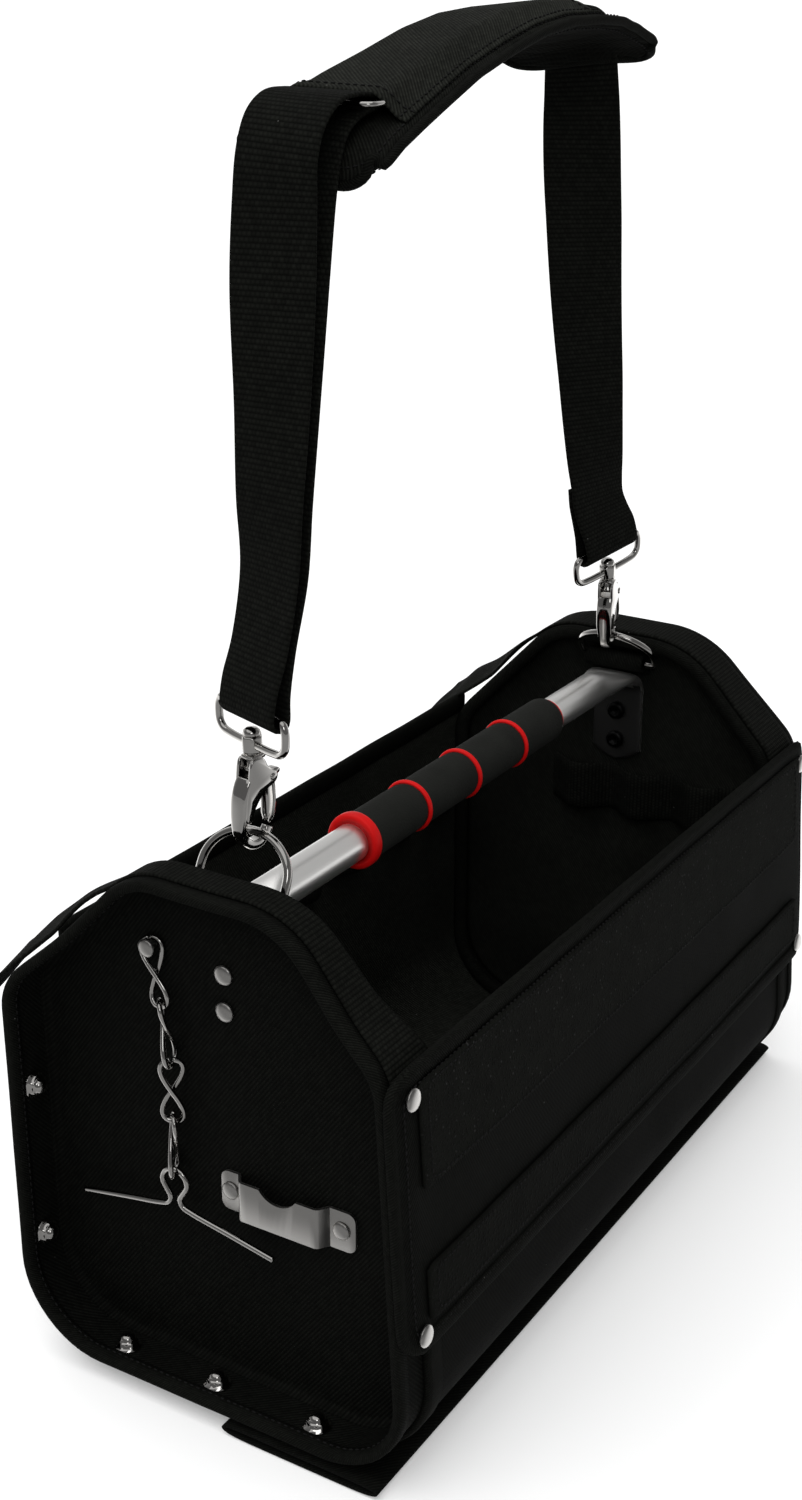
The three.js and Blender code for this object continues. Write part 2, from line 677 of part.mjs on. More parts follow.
// Strap frame: a wire loop with a boss at the middle of its lower bar for the swivel stud
function hookFrame() {
  const corner = 3.6;
  const loop = [
    [4, frameLow], [frameHalf - corner, frameLow],
    [frameHalf - 1, frameLow + 1], [frameHalf, frameLow + corner],
    [frameHalf, frameTop - corner], [frameHalf - 1, frameTop - 1], [frameHalf - corner, frameTop],
    [8, frameTop],
  ];
  const mirrored = loop.map(([y, z]) => [-y, z]).reverse();
  const line = [...loop, ...mirrored].map(([y, z]) => new THREE.Vector3(0, y, z));
  const boss = new THREE.CylinderGeometry(6.5, 6.5, 6, 12).rotateX(Math.PI / 2).translate(0, 0, frameLow);
  const bore = new THREE.CylinderGeometry(3.2, 3.2, 12, 10).rotateX(Math.PI / 2).translate(0, 0, frameLow);
  return cut(join(wire(line, frameWire, 6, 26), boss), bore);
}

// Snap hook below its frame: stud, collar, fork for the gate, and a bow that opens towards its own +X
function snapHook() {
  const bowEnd = spread(180, 352, 9).map(THREE.MathUtils.degToRad).map((a) => (
    [bowRadius * Math.cos(a), bowCentre + bowRadius * Math.sin(a)]
  ));
  const spine = [[0, -6.4], [-3, -9], [-7, -14], [-9, -23]];
  const line = [...spine, ...bowEnd].map(([x, z]) => new THREE.Vector3(x, 0, z));
  const body = wire(line, hookWire, 6, 15);
  const stud = turned([
    [0, -6], [2.8, -6], [2.8, frameLow + 3.4],
    [4.4, frameLow + 3.4], [4, frameLow + 5.4], [0, frameLow + 5.8],
  ], 12);
  const collar = turned([[0, -8], [4.6, -8], [5.6, -6], [5.6, -1.2], [4.8, -gap], [0, -gap]], 14);
  const yoke = boxBetween([-4.5, -4.4, -10.6], [11, 4.4, -5.5]);
  const cheekBack = boxBetween([5.4, 2.9, -17.5], [11, 4.4, -9.6]);
  const cheekFront = boxBetween([5.4, -4.4, -17.5], [11, -2.9, -9.6]);
  return join(body, stud, collar, yoke, cheekBack, cheekFront);
}

// Gate between the fork's cheeks: a lever with a thumb tab, closing down onto the tip of the bow
function hookGate() {
  const tip = bowCentre + 1.4 + gap;
  const outline = [
    [-2.2, 1.4], [0, 2.6], [2.4, 1.6], [5.4, 2.4], [6.6, 0.4], [3.2, -3.6], [2.7, -8],
    [2.9, tip - gatePivot.z], [-0.9, tip - gatePivot.z], [-1.3, -8],
  ];
  const shape = new THREE.Shape(outline.map(([x, z]) => new THREE.Vector2(x, z)));
  const lever = new THREE.ExtrudeGeometry(shape, { depth: 5, bevelEnabled: false });
  return lever.translate(0, 0, -2.5).rotateX(Math.PI / 2);
}

for (const [word, side] of [['left', -1], ['right', 1]]) {
  chrome(`strap_ring_${word}`, strapRing(side, ringShift[word], ringLean[word]));
  cloth(`ring_tab_${word}`, ringTab(side));
  const { spot, tilt, lean, frameTurn, hookTurn } = hangers[word];
  const [frameHolder, hookHolder] = [frameTurn, hookTurn].map((turn) => {
    const holder = new THREE.Group();
    holder.position.set(...spot);
    holder.rotation.set(...[tilt, lean, turn].map(THREE.MathUtils.degToRad), 'XYZ');
    bag.add(holder);
    return holder;
  });
  chrome(`hook_frame_${word}`, hookFrame(), frameHolder);
  chrome(`snap_hook_${word}`, snapHook(), hookHolder);
  const gate = hookGate().translate(gatePivot.x, 0, gatePivot.z);
  chrome(`hook_gate_${word}`, gate, hookHolder);
}

// Webbing along stations [x, z, turn, drop, y]: turn swings its width towards X, drop lowers its back edge
function webbing(stations) {
  const centres = stations.map(([x, z, , , y = 0]) => new THREE.Vector3(x, y, z));
  return sheet(stations.map((_, i) => i), [-0.5, 0, 0.5], (i, v, w) => {
    const before = centres[Math.max(i - 1, 0)];
    const after = centres[Math.min(i + 1, centres.length - 1)];
    const along = after.clone().sub(before).normalize();
    const [turn, drop] = stations[i].slice(2, 4).map(THREE.MathUtils.degToRad);
    const across = new THREE.Vector3(Math.sin(turn), Math.cos(turn), -Math.tan(drop)).normalize();
    const through = along.clone().cross(across).normalize();
    const p = centres[i].clone().addScaledVector(across, v * strapWidth);
    return p.addScaledVector(through, (w - 0.5) * strapThick);
  });
}

// A fold of webbing round a frame's upper bar, from its far side down, under and up the near side
function barFold(x, z, turn, drop, y) {
  const radius = frameWire + 3 * gap + strapThick / 2;
  const swing = THREE.MathUtils.degToRad(turn);
  return spread(0, 180, 6).map(THREE.MathUtils.degToRad).map((a) => {
    const out = radius * Math.cos(a);
    return [x + out * Math.cos(swing), z - radius * Math.sin(a), turn, drop, y - out * Math.sin(swing)];
  });
}

cloth('strap_left', webbing([
  [-103, 588, 0, -2], [-117, 586, 0, -4], [-128, 580.5, 0, -6], [-134, 570, 0, -6], [-138.5, 556, -3, 0],
  [-146, 520, -7, 0], [-151, 470, 3, 0], [-154.5, 430, 11, 0], [-159, 400, 18, 0, -2.2],
  [-168.8, 370, 20, 0, -2.4], [-175.1, 352, 20, 0, -3.6],
  ...barFold(-179.87, 342.5, 20, 0, -2.4),
  [-181.9, 354, 20, 0, -1.4], [-175.4, 370, 20, 0, -2.4], [-166.5, 400, 18, 0, -2.2], [-162, 430, 11, 0],
  [-158.5, 470, 3, 0],
  [-156, 520, -7, 0], [-153.5, 553, -4, 0], [-151, 572, 0, -4], [-144, 585, 0, -4], [-132, 592.4, 0, -3],
  [-117, 593.6, 0, -2], [-103.4, 592.4, 0, -2],
]));
cloth('strap_right', webbing([
  [148.5, 375, -74, 3, -2.2], [149.7, 366, -74, 5, -2.6], [152.9, 357, -73, 8, -3.4],
  [156.8, 348, -72, 11, -3.6],
  ...barFold(159.53, 336.7, -72, 11.5, -6.97),
  [155.4, 348, -72, 11, -9.6], [151.8, 357, -73, 8, -7.2], [148.9, 366, -74, 5, -5.4],
  [147.7, 375, -73, 3, -4.9], [146.4, 388, -68, 2, -4], [143.5, 411, -62, 0, -3],
  [141.3, 433, -57, 0, -2], [138.5, 455, -52, 0, -1],
  [136.4, 476, -47, 0], [133, 497, -42, 0], [130, 518, -36, 0], [126.7, 539, -29, 0], [124, 562, -18, 0],
  [121.8, 585, -6, 3], [118.5, 603, 0, 7], [111, 614, 0, 7], [99, 619.5, 0, 7], [84, 621.3, 0, 7],
  [73.2, 622.3, 0, 7],
]));

// Slider that the inner layer of the left strap is threaded through, between the two layers
const sliderRing = spread(0, 2 * Math.PI, 24).slice(0, 24).map((a) => {
  const [c, s] = [Math.cos(a), Math.sin(a)];
  const round = (v, power) => Math.sign(v) * Math.abs(v) ** power;
  return [7 * round(c, 0.55), 26 * round(s, 0.4)];
});
const sliderEdges = [[-1.1, -1], [1.1, -1], [1.1, 1], [-1.1, 1]];
const sliderRings = sliderEdges.map(([wide, high]) => sliderRing.map(([x, y]) => (
  new THREE.Vector3(x * (1 + wide / 9), y * (1 + wide / 26), high)
)));
chrome('strap_slider', loft(sliderRings, true).rotateX(0.035).rotateY(-0.02).translate(-114, 0, 590));

// Shoulder pad with a raised cover on top that is open at both mouths
function shoulderPad() {
  const across = [-1, -0.92, -0.77, -0.62, -0.3, 0.3, 0.62, 0.77, 0.92, 1];
  const count = padStations.length;
  return sheet(spread(0, count - 1, count - 1), across, (i, v, w) => {
    const s = padStations[i];
    const roll = THREE.MathUtils.degToRad(s.roll);
    const before = padStations[Math.max(i - 1, 0)];
    const after = padStations[Math.min(i + 1, count - 1)];
    const along = new THREE.Vector3(after.x - before.x, 0, after.z - before.z).normalize();
    const width = new THREE.Vector3(0, Math.cos(roll), Math.sin(roll));
    const up = along.clone().cross(width).normalize();
    const covered = s.x >= padMouth[0] && s.x <= padMouth[1];
    const edge = 1 - 0.25 * v ** 4;
    const cover = covered && Math.abs(v) < 0.7 ? padSleeve : 0;
    const height = w > 0.5 ? padThick * edge + cover : -padThick * edge;
    const ear = i === 0 ? -padEars.left : i === count - 1 ? padEars.right : 0;
    const reach = v < -0.7 ? ear : v > 0.7 ? -ear * 0.3 : 0;
    const p = new THREE.Vector3(s.x + reach, 0, s.z).addScaledVector(width, v * s.half);
    return p.addScaledVector(up, height);
  });
}
cloth('shoulder_pad', shoulderPad());

// Rows of elastic tool loops: a strip that stands off its wall in waves
function waveStrip(length, low, high, waves, stand, place) {
  const us = spread(0, 1, waves * 4);
  return sheet(us, [low, high], (u, z, w) => {
    const out = gap + stand * (0.5 - 0.5 * Math.cos(2 * Math.PI * waves * u));
    return place(u * length, out + 1.6 * w, z);
  });
}
cloth('tool_loops_end', waveStrip(118, 160, 188, 3, 11, (along, out, z) => (
  new THREE.Vector3(panelInner - out, -76 + along, z)
)));
cloth('tool_loops_back', waveStrip(300, 150, 178, 6, 11, (along, out, z) => (
  new THREE.Vector3(-115 + along, backY(z) - out, z)
)));

export default bag;
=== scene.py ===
import math

import bmesh
import bpy
import numpy as np
from bpy.props import FloatProperty, FloatVectorProperty, PointerProperty
from mathutils import Matrix, Vector


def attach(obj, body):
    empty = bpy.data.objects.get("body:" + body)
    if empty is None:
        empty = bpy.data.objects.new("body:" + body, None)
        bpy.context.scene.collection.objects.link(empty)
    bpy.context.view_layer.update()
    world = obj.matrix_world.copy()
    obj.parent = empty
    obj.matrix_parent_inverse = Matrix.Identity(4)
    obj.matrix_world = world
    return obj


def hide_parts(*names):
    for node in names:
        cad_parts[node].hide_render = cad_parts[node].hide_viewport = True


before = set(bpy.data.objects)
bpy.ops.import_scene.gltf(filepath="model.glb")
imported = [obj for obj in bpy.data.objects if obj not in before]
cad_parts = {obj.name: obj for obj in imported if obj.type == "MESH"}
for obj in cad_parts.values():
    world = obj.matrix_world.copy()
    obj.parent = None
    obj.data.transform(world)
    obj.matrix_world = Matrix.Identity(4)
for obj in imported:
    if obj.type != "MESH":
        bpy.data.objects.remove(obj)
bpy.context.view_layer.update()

bl_info = {
    "name": "Tool bag",
    "version": (1, 0, 0),
    "blender": (4, 5, 0),
    "location": "View3D > Sidebar > Tool bag",
    "description": "Dresses the packed frame of an open tool bag with cloth, webbing and plated hardware",
    "category": "Object",
}

# Heights below are millimetres above the bag's underside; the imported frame's origin is this far up.
HANG = 608.0
MM = 0.001

# Corners of an end outline: y, z and radius.
CORNERS = (
    (41.0, 275.5, 40.0), (107.5, 205.0, 35.0), (106.5, 10.0, 46.0),
    (-112.0, 10.0, 42.0), (-100.0, 214.5, 28.0), (-45.5, 274.5, 54.0),
)
ARC_STEPS, SIDE_STEPS = 12, 8
PER_CORNER = ARC_STEPS + 1 + SIDE_STEPS
PANEL_OUT, PANEL_IN = 204.8, 202.2
RIM_OUT, RIM_IN = 235, 190.0
# An arch draws in from the first height to the second or third, and the left one is lower by its drop.
ARCH_FROM, ARCH_FULL, ARCH_TOP = 195, 240, 275
ARCH_DRAW, LEFT_DROP = 9, 4.5
# The front wall leans back by this much over its height, from the base's corner.
FRONT_LEAN, FRONT_TALL, BASE_Z = 12, 204.5, 10
# Front panel and strips: half length, top, low edge and corner radius.
PANEL = (234.4, 216, 79.5, 14)
HOOK_STRIP = (217.5, 209, 158.6, 1.5)
LOOP_STRIP = (217.5, 120, 94, 1.5)
TUBE_Z = 249.4
GRIP_BORE = 9.7
GRIP_RINGS = (-46, 5, 56)
SCREW_HEIGHTS = (225, 206.5)
SIDES = (("left", -1), ("right", 1))
# Loose ends of the arches' webbing: y and z.
TAILS = {
    "left": ((74, 247.5), (94, 230), (109, 216.5), (118, 208.5), (121.5, 201)),
    "right": ((74, 249.5), (94, 233.5), (110, 223.5), (119, 216), (126, 211.5)),
}


# Shapes

def to_frame(points):
    """Millimetres above the bag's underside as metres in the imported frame."""
    out = np.array(points, dtype=float) * MM
    out[..., 2] -= HANG * MM
    return out


def unit(v):
    v = np.asarray(v, dtype=float)
    return v / np.maximum(np.linalg.norm(v, axis=-1, keepdims=True), 1e-12)


def smoothstep(v, low, high):
    t = np.clip((np.asarray(v, dtype=float) - low) / (high - low), 0, 1)
    return t * t * (3 - 2 * t)


def ripple(a, b, seed):
    """A slow wave field of about -1 to 1 over two lengths in millimetres."""
    k = seed * 1.7
    return (np.sin(a / 23.0 + k) * np.cos(b / 31.0 - 2 * k) + 0.6 * np.sin(a / 11.0 - b / 17.0 + 3 * k)
            + 0.5 * np.cos(b / 13.0 + a / 47.0 + k)) / 2.1


def smooth_path(points, count, closed=False):
    """Evenly spaced points on a smooth curve through the given ones."""
    p = np.asarray(points, dtype=float)
    if closed:
        p = np.vstack([p[-1:], p, p[:2]])
    else:
        p = np.vstack([2 * p[:1] - p[1:2], p, 2 * p[-1:] - p[-2:-1]])
    fine = []
    steps = np.linspace(0, 1, 24, endpoint=False)
    for a, b, c, d in zip(p[:-3], p[1:-2], p[2:-1], p[3:]):
        ab, bc, cd = (max(np.linalg.norm(v), 1e-9) ** 0.5 for v in (b - a, c - b, d - c))
        m1 = (b - a) / ab - (c - a) / (ab + bc) + (c - b) / bc
        m2 = (c - b) / bc - (d - b) / (bc + cd) + (d - c) / cd
        m1, m2 = m1 * bc, m2 * bc
        for t in steps:
            fine.append((2 * t**3 - 3 * t**2 + 1) * b + (t**3 - 2 * t**2 + t) * m1
                        + (3 * t**2 - 2 * t**3) * c + (t**3 - t**2) * m2)
    fine.append(p[-2])
    fine = np.array(fine)
    run = run_lengths(fine)
    at = np.linspace(0, run[-1], count + 1 if closed else count)
    out = np.stack([np.interp(at, run, fine[:, k]) for k in range(fine.shape[1])], axis=1)
    return out[:-1] if closed else out


def run_lengths(points):
    """Length along a line at each of its points."""
    return np.r_[0, np.cumsum(np.linalg.norm(np.diff(points, axis=0), axis=1))]


def tangents(path, closed=False):
    if closed:
        return unit(np.roll(path, -1, axis=0) - np.roll(path, 1, axis=0))
    return unit(np.gradient(path, axis=0))


def add_object(name, data):
    obj = bpy.data.objects.new(name, data)
    bpy.context.scene.collection.objects.link(obj)
    return obj


def smooth_all(mesh):
    mesh.polygons.foreach_set("use_smooth", [True] * len(mesh.polygons))
    mesh.update()


def new_object(name, points, faces, uv, material):
    mesh = bpy.data.meshes.new(name)
    mesh.from_pydata(points.reshape(-1, 3).tolist(), [], [tuple(f) for f in faces])
    mesh.uv_layers.new(name="UVMap").data.foreach_set("uv", np.asarray(uv, dtype=np.float32).ravel())
    mesh.materials.append(material)
    bm = bmesh.new()
    bm.from_mesh(mesh)
    bmesh.ops.remove_doubles(bm, verts=bm.verts, dist=2e-6)
    bmesh.ops.recalc_face_normals(bm, faces=bm.faces)
    bm.to_mesh(mesh)
    bm.free()
    smooth_all(mesh)
    return add_object(name, mesh)


def flatten(obj):
    """Leaves a plain mesh of what the object's modifiers make."""
    graph = bpy.context.evaluated_depsgraph_get()
    mesh = bpy.data.meshes.new_from_object(obj.evaluated_get(graph), depsgraph=graph)
    obj.modifiers.clear()
    old = obj.data
    obj.data = mesh
    bpy.data.meshes.remove(old)
    mesh.name = obj.name
    smooth_all(mesh)


def grid_object(name, grid, material, closed=False, caps=False, uv=None):
    """A tube over rings of millimetre points; its UV map is in metres along the grid, or as given."""
    pts = to_frame(grid)
    n, m = pts.shape[:2]
    i = np.arange(n if closed else n - 1)[:, None]
    j = np.arange(m)[None, :]
    i2, j2 = (i + 1) % n, (j + 1) % m
    faces = np.stack(np.broadcast_arrays(i * m + j, i * m + j2, i2 * m + j2, i2 * m + j), -1).reshape(-1, 4)
    if uv is None:
        along = np.linalg.norm(np.roll(pts, -1, axis=0) - pts, axis=2).mean(axis=1)
        across = np.linalg.norm(np.roll(pts, -1, axis=1) - pts, axis=2).mean(axis=0)
        u = np.r_[0, np.cumsum(along)]
        v = np.r_[0, np.cumsum(across)]
        pairs = [(v[j], u[i]), (v[j + 1], u[i]), (v[j + 1], u[i + 1]), (v[j], u[i + 1])]
        corners = [np.stack(np.broadcast_arrays(a, b), -1) for a, b in pairs]
    else:
        uv = np.asarray(uv)
        corners = [uv[i, j], uv[i, j2], uv[i2, j2], uv[i2, j]]
    flat = np.stack(corners, axis=2).reshape(-1, 2)
    faces = faces.tolist()
    if caps:
        first = list(range(m))
        last = [(n - 1) * m + k for k in range(m)]
        faces += [first[::-1], last]
        flat = np.vstack([flat, np.zeros((2 * m, 2))])
    return new_object(name, pts, faces, flat, material)


def sweep(name, path, side, up, section, material, closed=False):
    """A section of (side, up) points carried along a path, with directions for each point or for all."""
    section = np.asarray(section, dtype=float)
    side, up = (np.broadcast_to(way, path.shape) for way in (side, up))
    grid = (path[:, None, :] + side[:, None, :] * section[None, :, :1] + up[:, None, :] * section[None, :, 1:])
    return grid_object(name, grid, material, closed, caps=not closed)


def circle(count):
    return np.linspace(0, 2 * math.pi, count, endpoint=False)


def arc(first, last, count):
    """Evenly spaced angles, from degrees to radians."""
    return np.radians(np.linspace(first, last, count))


def squarish(wave, power):
    """A sine or cosine drawn towards a square's side as the power falls below 1."""
    return np.sign(wave) * np.abs(wave) ** power


def round_section(radius, sides):
    a = circle(sides)
    return np.stack([np.cos(a), np.sin(a)], axis=1) * radius


def wire(name, path, radius, material, sides, closed=False):
    """Round wire along a path, its frame carried on without twist."""
    path = np.asarray(path, dtype=float)
    along = tangents(path, closed)
    seed = np.eye(3)[np.argmin(np.abs(along[0]))]
    side = [unit(np.cross(along[0], seed))]
    for t in along[1:]:
        side.append(unit(side[-1] - t * side[-1].dot(t)))
    side = np.array(side)
    up = np.cross(along, side)
    if closed:
        turn = math.atan2(side[0].dot(up[-1]), side[0].dot(side[-1]))
        share = np.linspace(0, turn, len(path))[:, None]
        side, up = side * np.cos(share) + up * np.sin(share), up * np.cos(share) - side * np.sin(share)
    return sweep(name, path, side, up, round_section(radius, sides), material, closed)


def tape_section(width, thick, steps=10):
    """A flat tape's section with round edges, from one edge over the top and back underneath."""
    half, r = width / 2, thick / 2
    top = [(x, r) for x in np.linspace(-half + r, half - r, steps)]
    edge = [(half - r + r * math.cos(a), r * math.sin(a)) for a in (0.9, 0.3, -0.3, -0.9)]
    low = [(-x, -y) for x, y in top]
    back = [(-x, -y) for x, y in edge]
    return np.array(top + edge + low + back)


def lift(points):
    """Local millimetre points as heights that place() can move."""
    out = np.array(points, dtype=float)
    out[..., 2] += HANG
    return out


def turned(name, profile, material, segments=28, hexed=()):
    """A turned piece about local Z in millimetres, with the named profile rows made six-sided."""
    a = circle(segments)
    rows = []
    for k, (r, h) in enumerate(profile):
        reach = np.full(segments, float(r))
        if k in hexed:
            reach = r * math.cos(math.pi / 6) / np.cos((a % (math.pi / 3)) - math.pi / 6)
        rows.append(np.stack([reach * np.cos(a), reach * np.sin(a), np.full(segments, float(h))], axis=1))
    open_ends = profile[0][0] > 0.01 and profile[-1][0] > 0.01
    return grid_object(name, lift(rows), material, caps=open_ends)


def place(obj, matrix):
    """Moves a mesh by a matrix whose shift is in millimetres above the bag's underside."""
    m = Matrix(matrix)
    m.translation = Vector(to_frame(m.translation))
    obj.data.transform(m)
    obj.data.update()
    return obj


def axis_matrix(origin, z_axis, x_hint=(0, 0, 1)):
    z = unit(z_axis)
    x = np.asarray(x_hint, dtype=float)
    if abs(unit(x).dot(z)) > 0.95:
        x = np.array((1.0, 0, 0))
    x = unit(x - z * x.dot(z))
    y = np.cross(z, x)
    m = Matrix.Identity(4)
    for k in range(3):
        m[k][0], m[k][1], m[k][2], m[k][3] = x[k], y[k], z[k], origin[k]
    return m


def outline(inset):
    """The end outline moved in by an inset, as (y, z) points, with the same count for every inset."""
    pts = np.array([(y, z) for y, z, _ in CORNERS])
    n = len(pts)
    along = unit(np.roll(pts, -1, axis=0) - pts)
    inward = np.stack([along[:, 1], -along[:, 0]], axis=1)
    arcs = []
    for k in range(n):
        before, after = inward[k - 1], inward[k]
        bis = unit(before + after)
        c = bis.dot(after)
        radius = CORNERS[k][2] - inset
        centre = pts[k] + bis * (inset + radius) / c
        start = -before
        turn = math.atan2(start[0] * -after[1] + start[1] * after[0], -start.dot(after))
        angles = turn * np.linspace(0, 1, ARC_STEPS + 1)
        arcs.append(np.stack([
            centre[0] + radius * (start[0] * np.cos(angles) - start[1] * np.sin(angles)),
            centre[1] + radius * (start[0] * np.sin(angles) + start[1] * np.cos(angles))], axis=1))
    out = []
    for k in range(n):
        a, b = arcs[k][-1], arcs[(k + 1) % n][0]
        share = np.linspace(0, 1, SIDE_STEPS + 2)[1:-1, None]
        out += [arcs[k], a + (b - a) * share]
    return np.vstack(out)


def rim_x(z):
    return RIM_OUT - ARCH_DRAW * smoothstep(z, ARCH_FROM, ARCH_TOP)


def inner_x(z, side):
    """The inner edge of a rim: it draws back over the left arch."""
    return RIM_IN + ARCH_DRAW * smoothstep(z, ARCH_FROM, ARCH_FULL) * (side < 0)


def settled(points):
    """The left arch is a little lower than the right one: its points sink towards the arch's middle."""
    out = np.array(points, dtype=float)
    drop = LEFT_DROP * smoothstep(out[..., 2], ARCH_FROM, ARCH_FULL) * (out[..., 0] < 0)
    way = np.stack([0 * drop, -out[..., 1], ARCH_FROM - out[..., 2]], axis=-1)
    return out + unit(way) * drop[..., None]


def front_y(z):
    return -112 + FRONT_LEAN * (np.asarray(z, dtype=float) - BASE_Z) / FRONT_TALL


def back_y(z):
    return 106.5 + (np.asarray(z, dtype=float) - BASE_Z) / 195


def cloth_sheet(name, middle, thick, material, uv=None):
    """A closed sheet of cloth about a grid of middle points, with a rounded edge."""
    du = np.gradient(middle, axis=0)
    dv = np.gradient(middle, axis=1)
    normal = unit(np.cross(du, dv))
    n, m = middle.shape[:2]
    grow = middle.copy()
    grow[0] -= unit(du[0]) * thick * 0.4
    grow[-1] += unit(du[-1]) * thick * 0.4
    grow[:, 0] -= unit(dv[:, 0]) * thick * 0.4
    grow[:, -1] += unit(dv[:, -1]) * thick * 0.4
    front = middle + normal * thick / 2
    back = middle - normal * thick / 2
    pts = to_frame(np.concatenate([front.reshape(-1, 3), back.reshape(-1, 3), grow.reshape(-1, 3)]))
    u = np.r_[0, np.cumsum(np.linalg.norm(np.diff(middle, axis=0), axis=2).mean(axis=1))] * MM
    v = np.r_[0, np.cumsum(np.linalg.norm(np.diff(middle, axis=1), axis=2).mean(axis=0))] * MM
    flat = np.stack(np.meshgrid(v, u), axis=-1).reshape(-1, 2) if uv is None else np.asarray(uv).reshape(-1, 2)
    flat = np.vstack([flat, flat, flat])
    i, j = np.meshgrid(np.arange(n - 1), np.arange(m - 1), indexing="ij")
    a = (i * m + j).ravel()
    quads = np.stack([a, a + 1, a + m + 1, a + m], axis=1)
    edge = ([(0, k) for k in range(m)] + [(k, m - 1) for k in range(1, n)]
            + [(n - 1, k) for k in range(m - 2, -1, -1)] + [(k, 0) for k in range(n - 2, 0, -1)])
    loop = np.array([p * m + q for p, q in edge])
    nxt = np.roll(loop, -1)
    total = n * m
    rims = [np.stack([loop, nxt, nxt + 2 * total, loop + 2 * total], axis=1),
            np.stack([loop + 2 * total, nxt + 2 * total, nxt + total, loop + total], axis=1)]
    faces = np.vstack([quads, quads[:, ::-1] + total] + rims)
    used = np.unique(faces)
    index = np.full(len(pts), -1)
    index[used] = np.arange(len(used))
    return new_object(name, pts[used], index[faces].tolist(), flat[faces.ravel()], material)


def finish_piece(obj, body="bag", nodes=()):
    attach(obj, body)
    if nodes:
        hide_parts(*nodes)
    return obj


# Node trees

class Tree:
    """Short calls to add nodes to a tree and join them."""

    def __init__(self, tree):
        self.tree = tree

    def add(self, kind, values=None, **settings):
        node = self.tree.nodes.new(kind)
        for key, value in settings.items():
            setattr(node, key, value)
        for key, value in (values or {}).items():
            self.put(value, node.inputs[key])
        return node

    def put(self, value, socket):
        if isinstance(value, bpy.types.NodeSocket):
            self.tree.links.new(value, socket)
        else:
            socket.default_value = value

    def math(self, operation, a, b=None, c=None):
        node = self.add("ShaderNodeMath", operation=operation)
        for value, socket in zip((a, b, c), node.inputs):
            if value is not None:
                self.put(value, socket)
        return node.outputs[0]

    def mix(self, factor, a, b):
        node = self.add("ShaderNodeMix", data_type="RGBA")
        self.put(factor, node.inputs["Factor"])
        self.put(a, node.inputs[6])
        self.put(b, node.inputs[7])
        return node.outputs[2]


def rgba(colour, factor=1):
    return tuple(k * factor for k in colour) + (1,)


def node_group(name, kind, inputs, outputs):
    """An empty node group with named sockets, as (group, tree, input sockets, output sockets)."""
    group = bpy.data.node_groups.new(name, kind)
    for label, form, value in inputs:
        socket = group.interface.new_socket(label, in_out="INPUT", socket_type=f"NodeSocket{form}")
        if value is not None:
            socket.default_value = value
    for label, form in outputs:
        group.interface.new_socket(label, in_out="OUTPUT", socket_type=f"NodeSocket{form}")
    tree = Tree(group)
    return group, tree, tree.add("NodeGroupInput").outputs, tree.add("NodeGroupOutput").inputs


def weave_group(name, *inputs):
    """A shader group over a map in metres that gives a weave's height and a random value per yarn."""
    return node_group(
        name, "ShaderNodeTree", [("Vector", "Vector", None)] + [(label, "Float", value) for label, value in inputs],
        [("Height", "Float"), ("Yarn", "Float")])


def close_weave(t, end, height, column, row):
    cell = t.add("ShaderNodeCombineXYZ", {0: t.math("FLOOR", column), 1: t.math("FLOOR", row)})
    noise = t.add("ShaderNodeTexWhiteNoise", {"Vector": cell.outputs[0]}, noise_dimensions="2D")
    t.put(height, end["Height"])
    t.put(noise.outputs["Value"], end["Yarn"])


def twill_group():
    """Diagonal ridges broken into yarns."""
    group, t, get, end = weave_group("Twill weave", ("Pitch", 0.0014), ("Lean", 0.8))
    turn = t.add("ShaderNodeVectorRotate", {"Vector": get["Vector"], "Angle": get["Lean"]}, rotation_type="Z_AXIS")
    parts = t.add("ShaderNodeSeparateXYZ", {0: turn.outputs[0]})
    row = t.math("DIVIDE", parts.outputs[0], get["Pitch"])
    ridge = t.math("SINE", t.math("MULTIPLY", row, 2 * math.pi))
    ridge = t.math("MULTIPLY_ADD", ridge, 0.5, 0.5)
    shift = t.math("MULTIPLY", t.math("FLOOR", row), 0.37)
    step = t.math("ADD", t.math("DIVIDE", parts.outputs[1], t.math("MULTIPLY", get["Pitch"], 1.7)), shift)
    yarn = t.math("SINE", t.math("MULTIPLY", step, 2 * math.pi))
    height = t.math("MULTIPLY", ridge, t.math("MULTIPLY_ADD", yarn, 0.18, 0.82))
    close_weave(t, end, height, row, step)
    return group


def webbing_group():
    """Rows of ribs across a tape, each row shifted by half a column."""
    group, t, get, end = weave_group("Webbing weave", ("Rib", 0.0014), ("Column", 0.0019))
    parts = t.add("ShaderNodeSeparateXYZ", {0: get["Vector"]})
    row = t.math("DIVIDE", parts.outputs[1], get["Rib"])
    half = t.math("MULTIPLY", t.math("MODULO", t.math("FLOOR", row), 2.0), 0.5)
    column = t.math("ADD", t.math("DIVIDE", parts.outputs[0], get["Column"]), half)
    crown = t.math("SINE", t.math("MULTIPLY", t.math("FRACT", row), math.pi))
    bead = t.math("ABSOLUTE", t.math("SINE", t.math("MULTIPLY", column, math.pi)))
    height = t.math("MULTIPLY", crown, t.math("MULTIPLY_ADD", bead, 0.6, 0.4))
    close_weave(t, end, height, column, row)
    return group


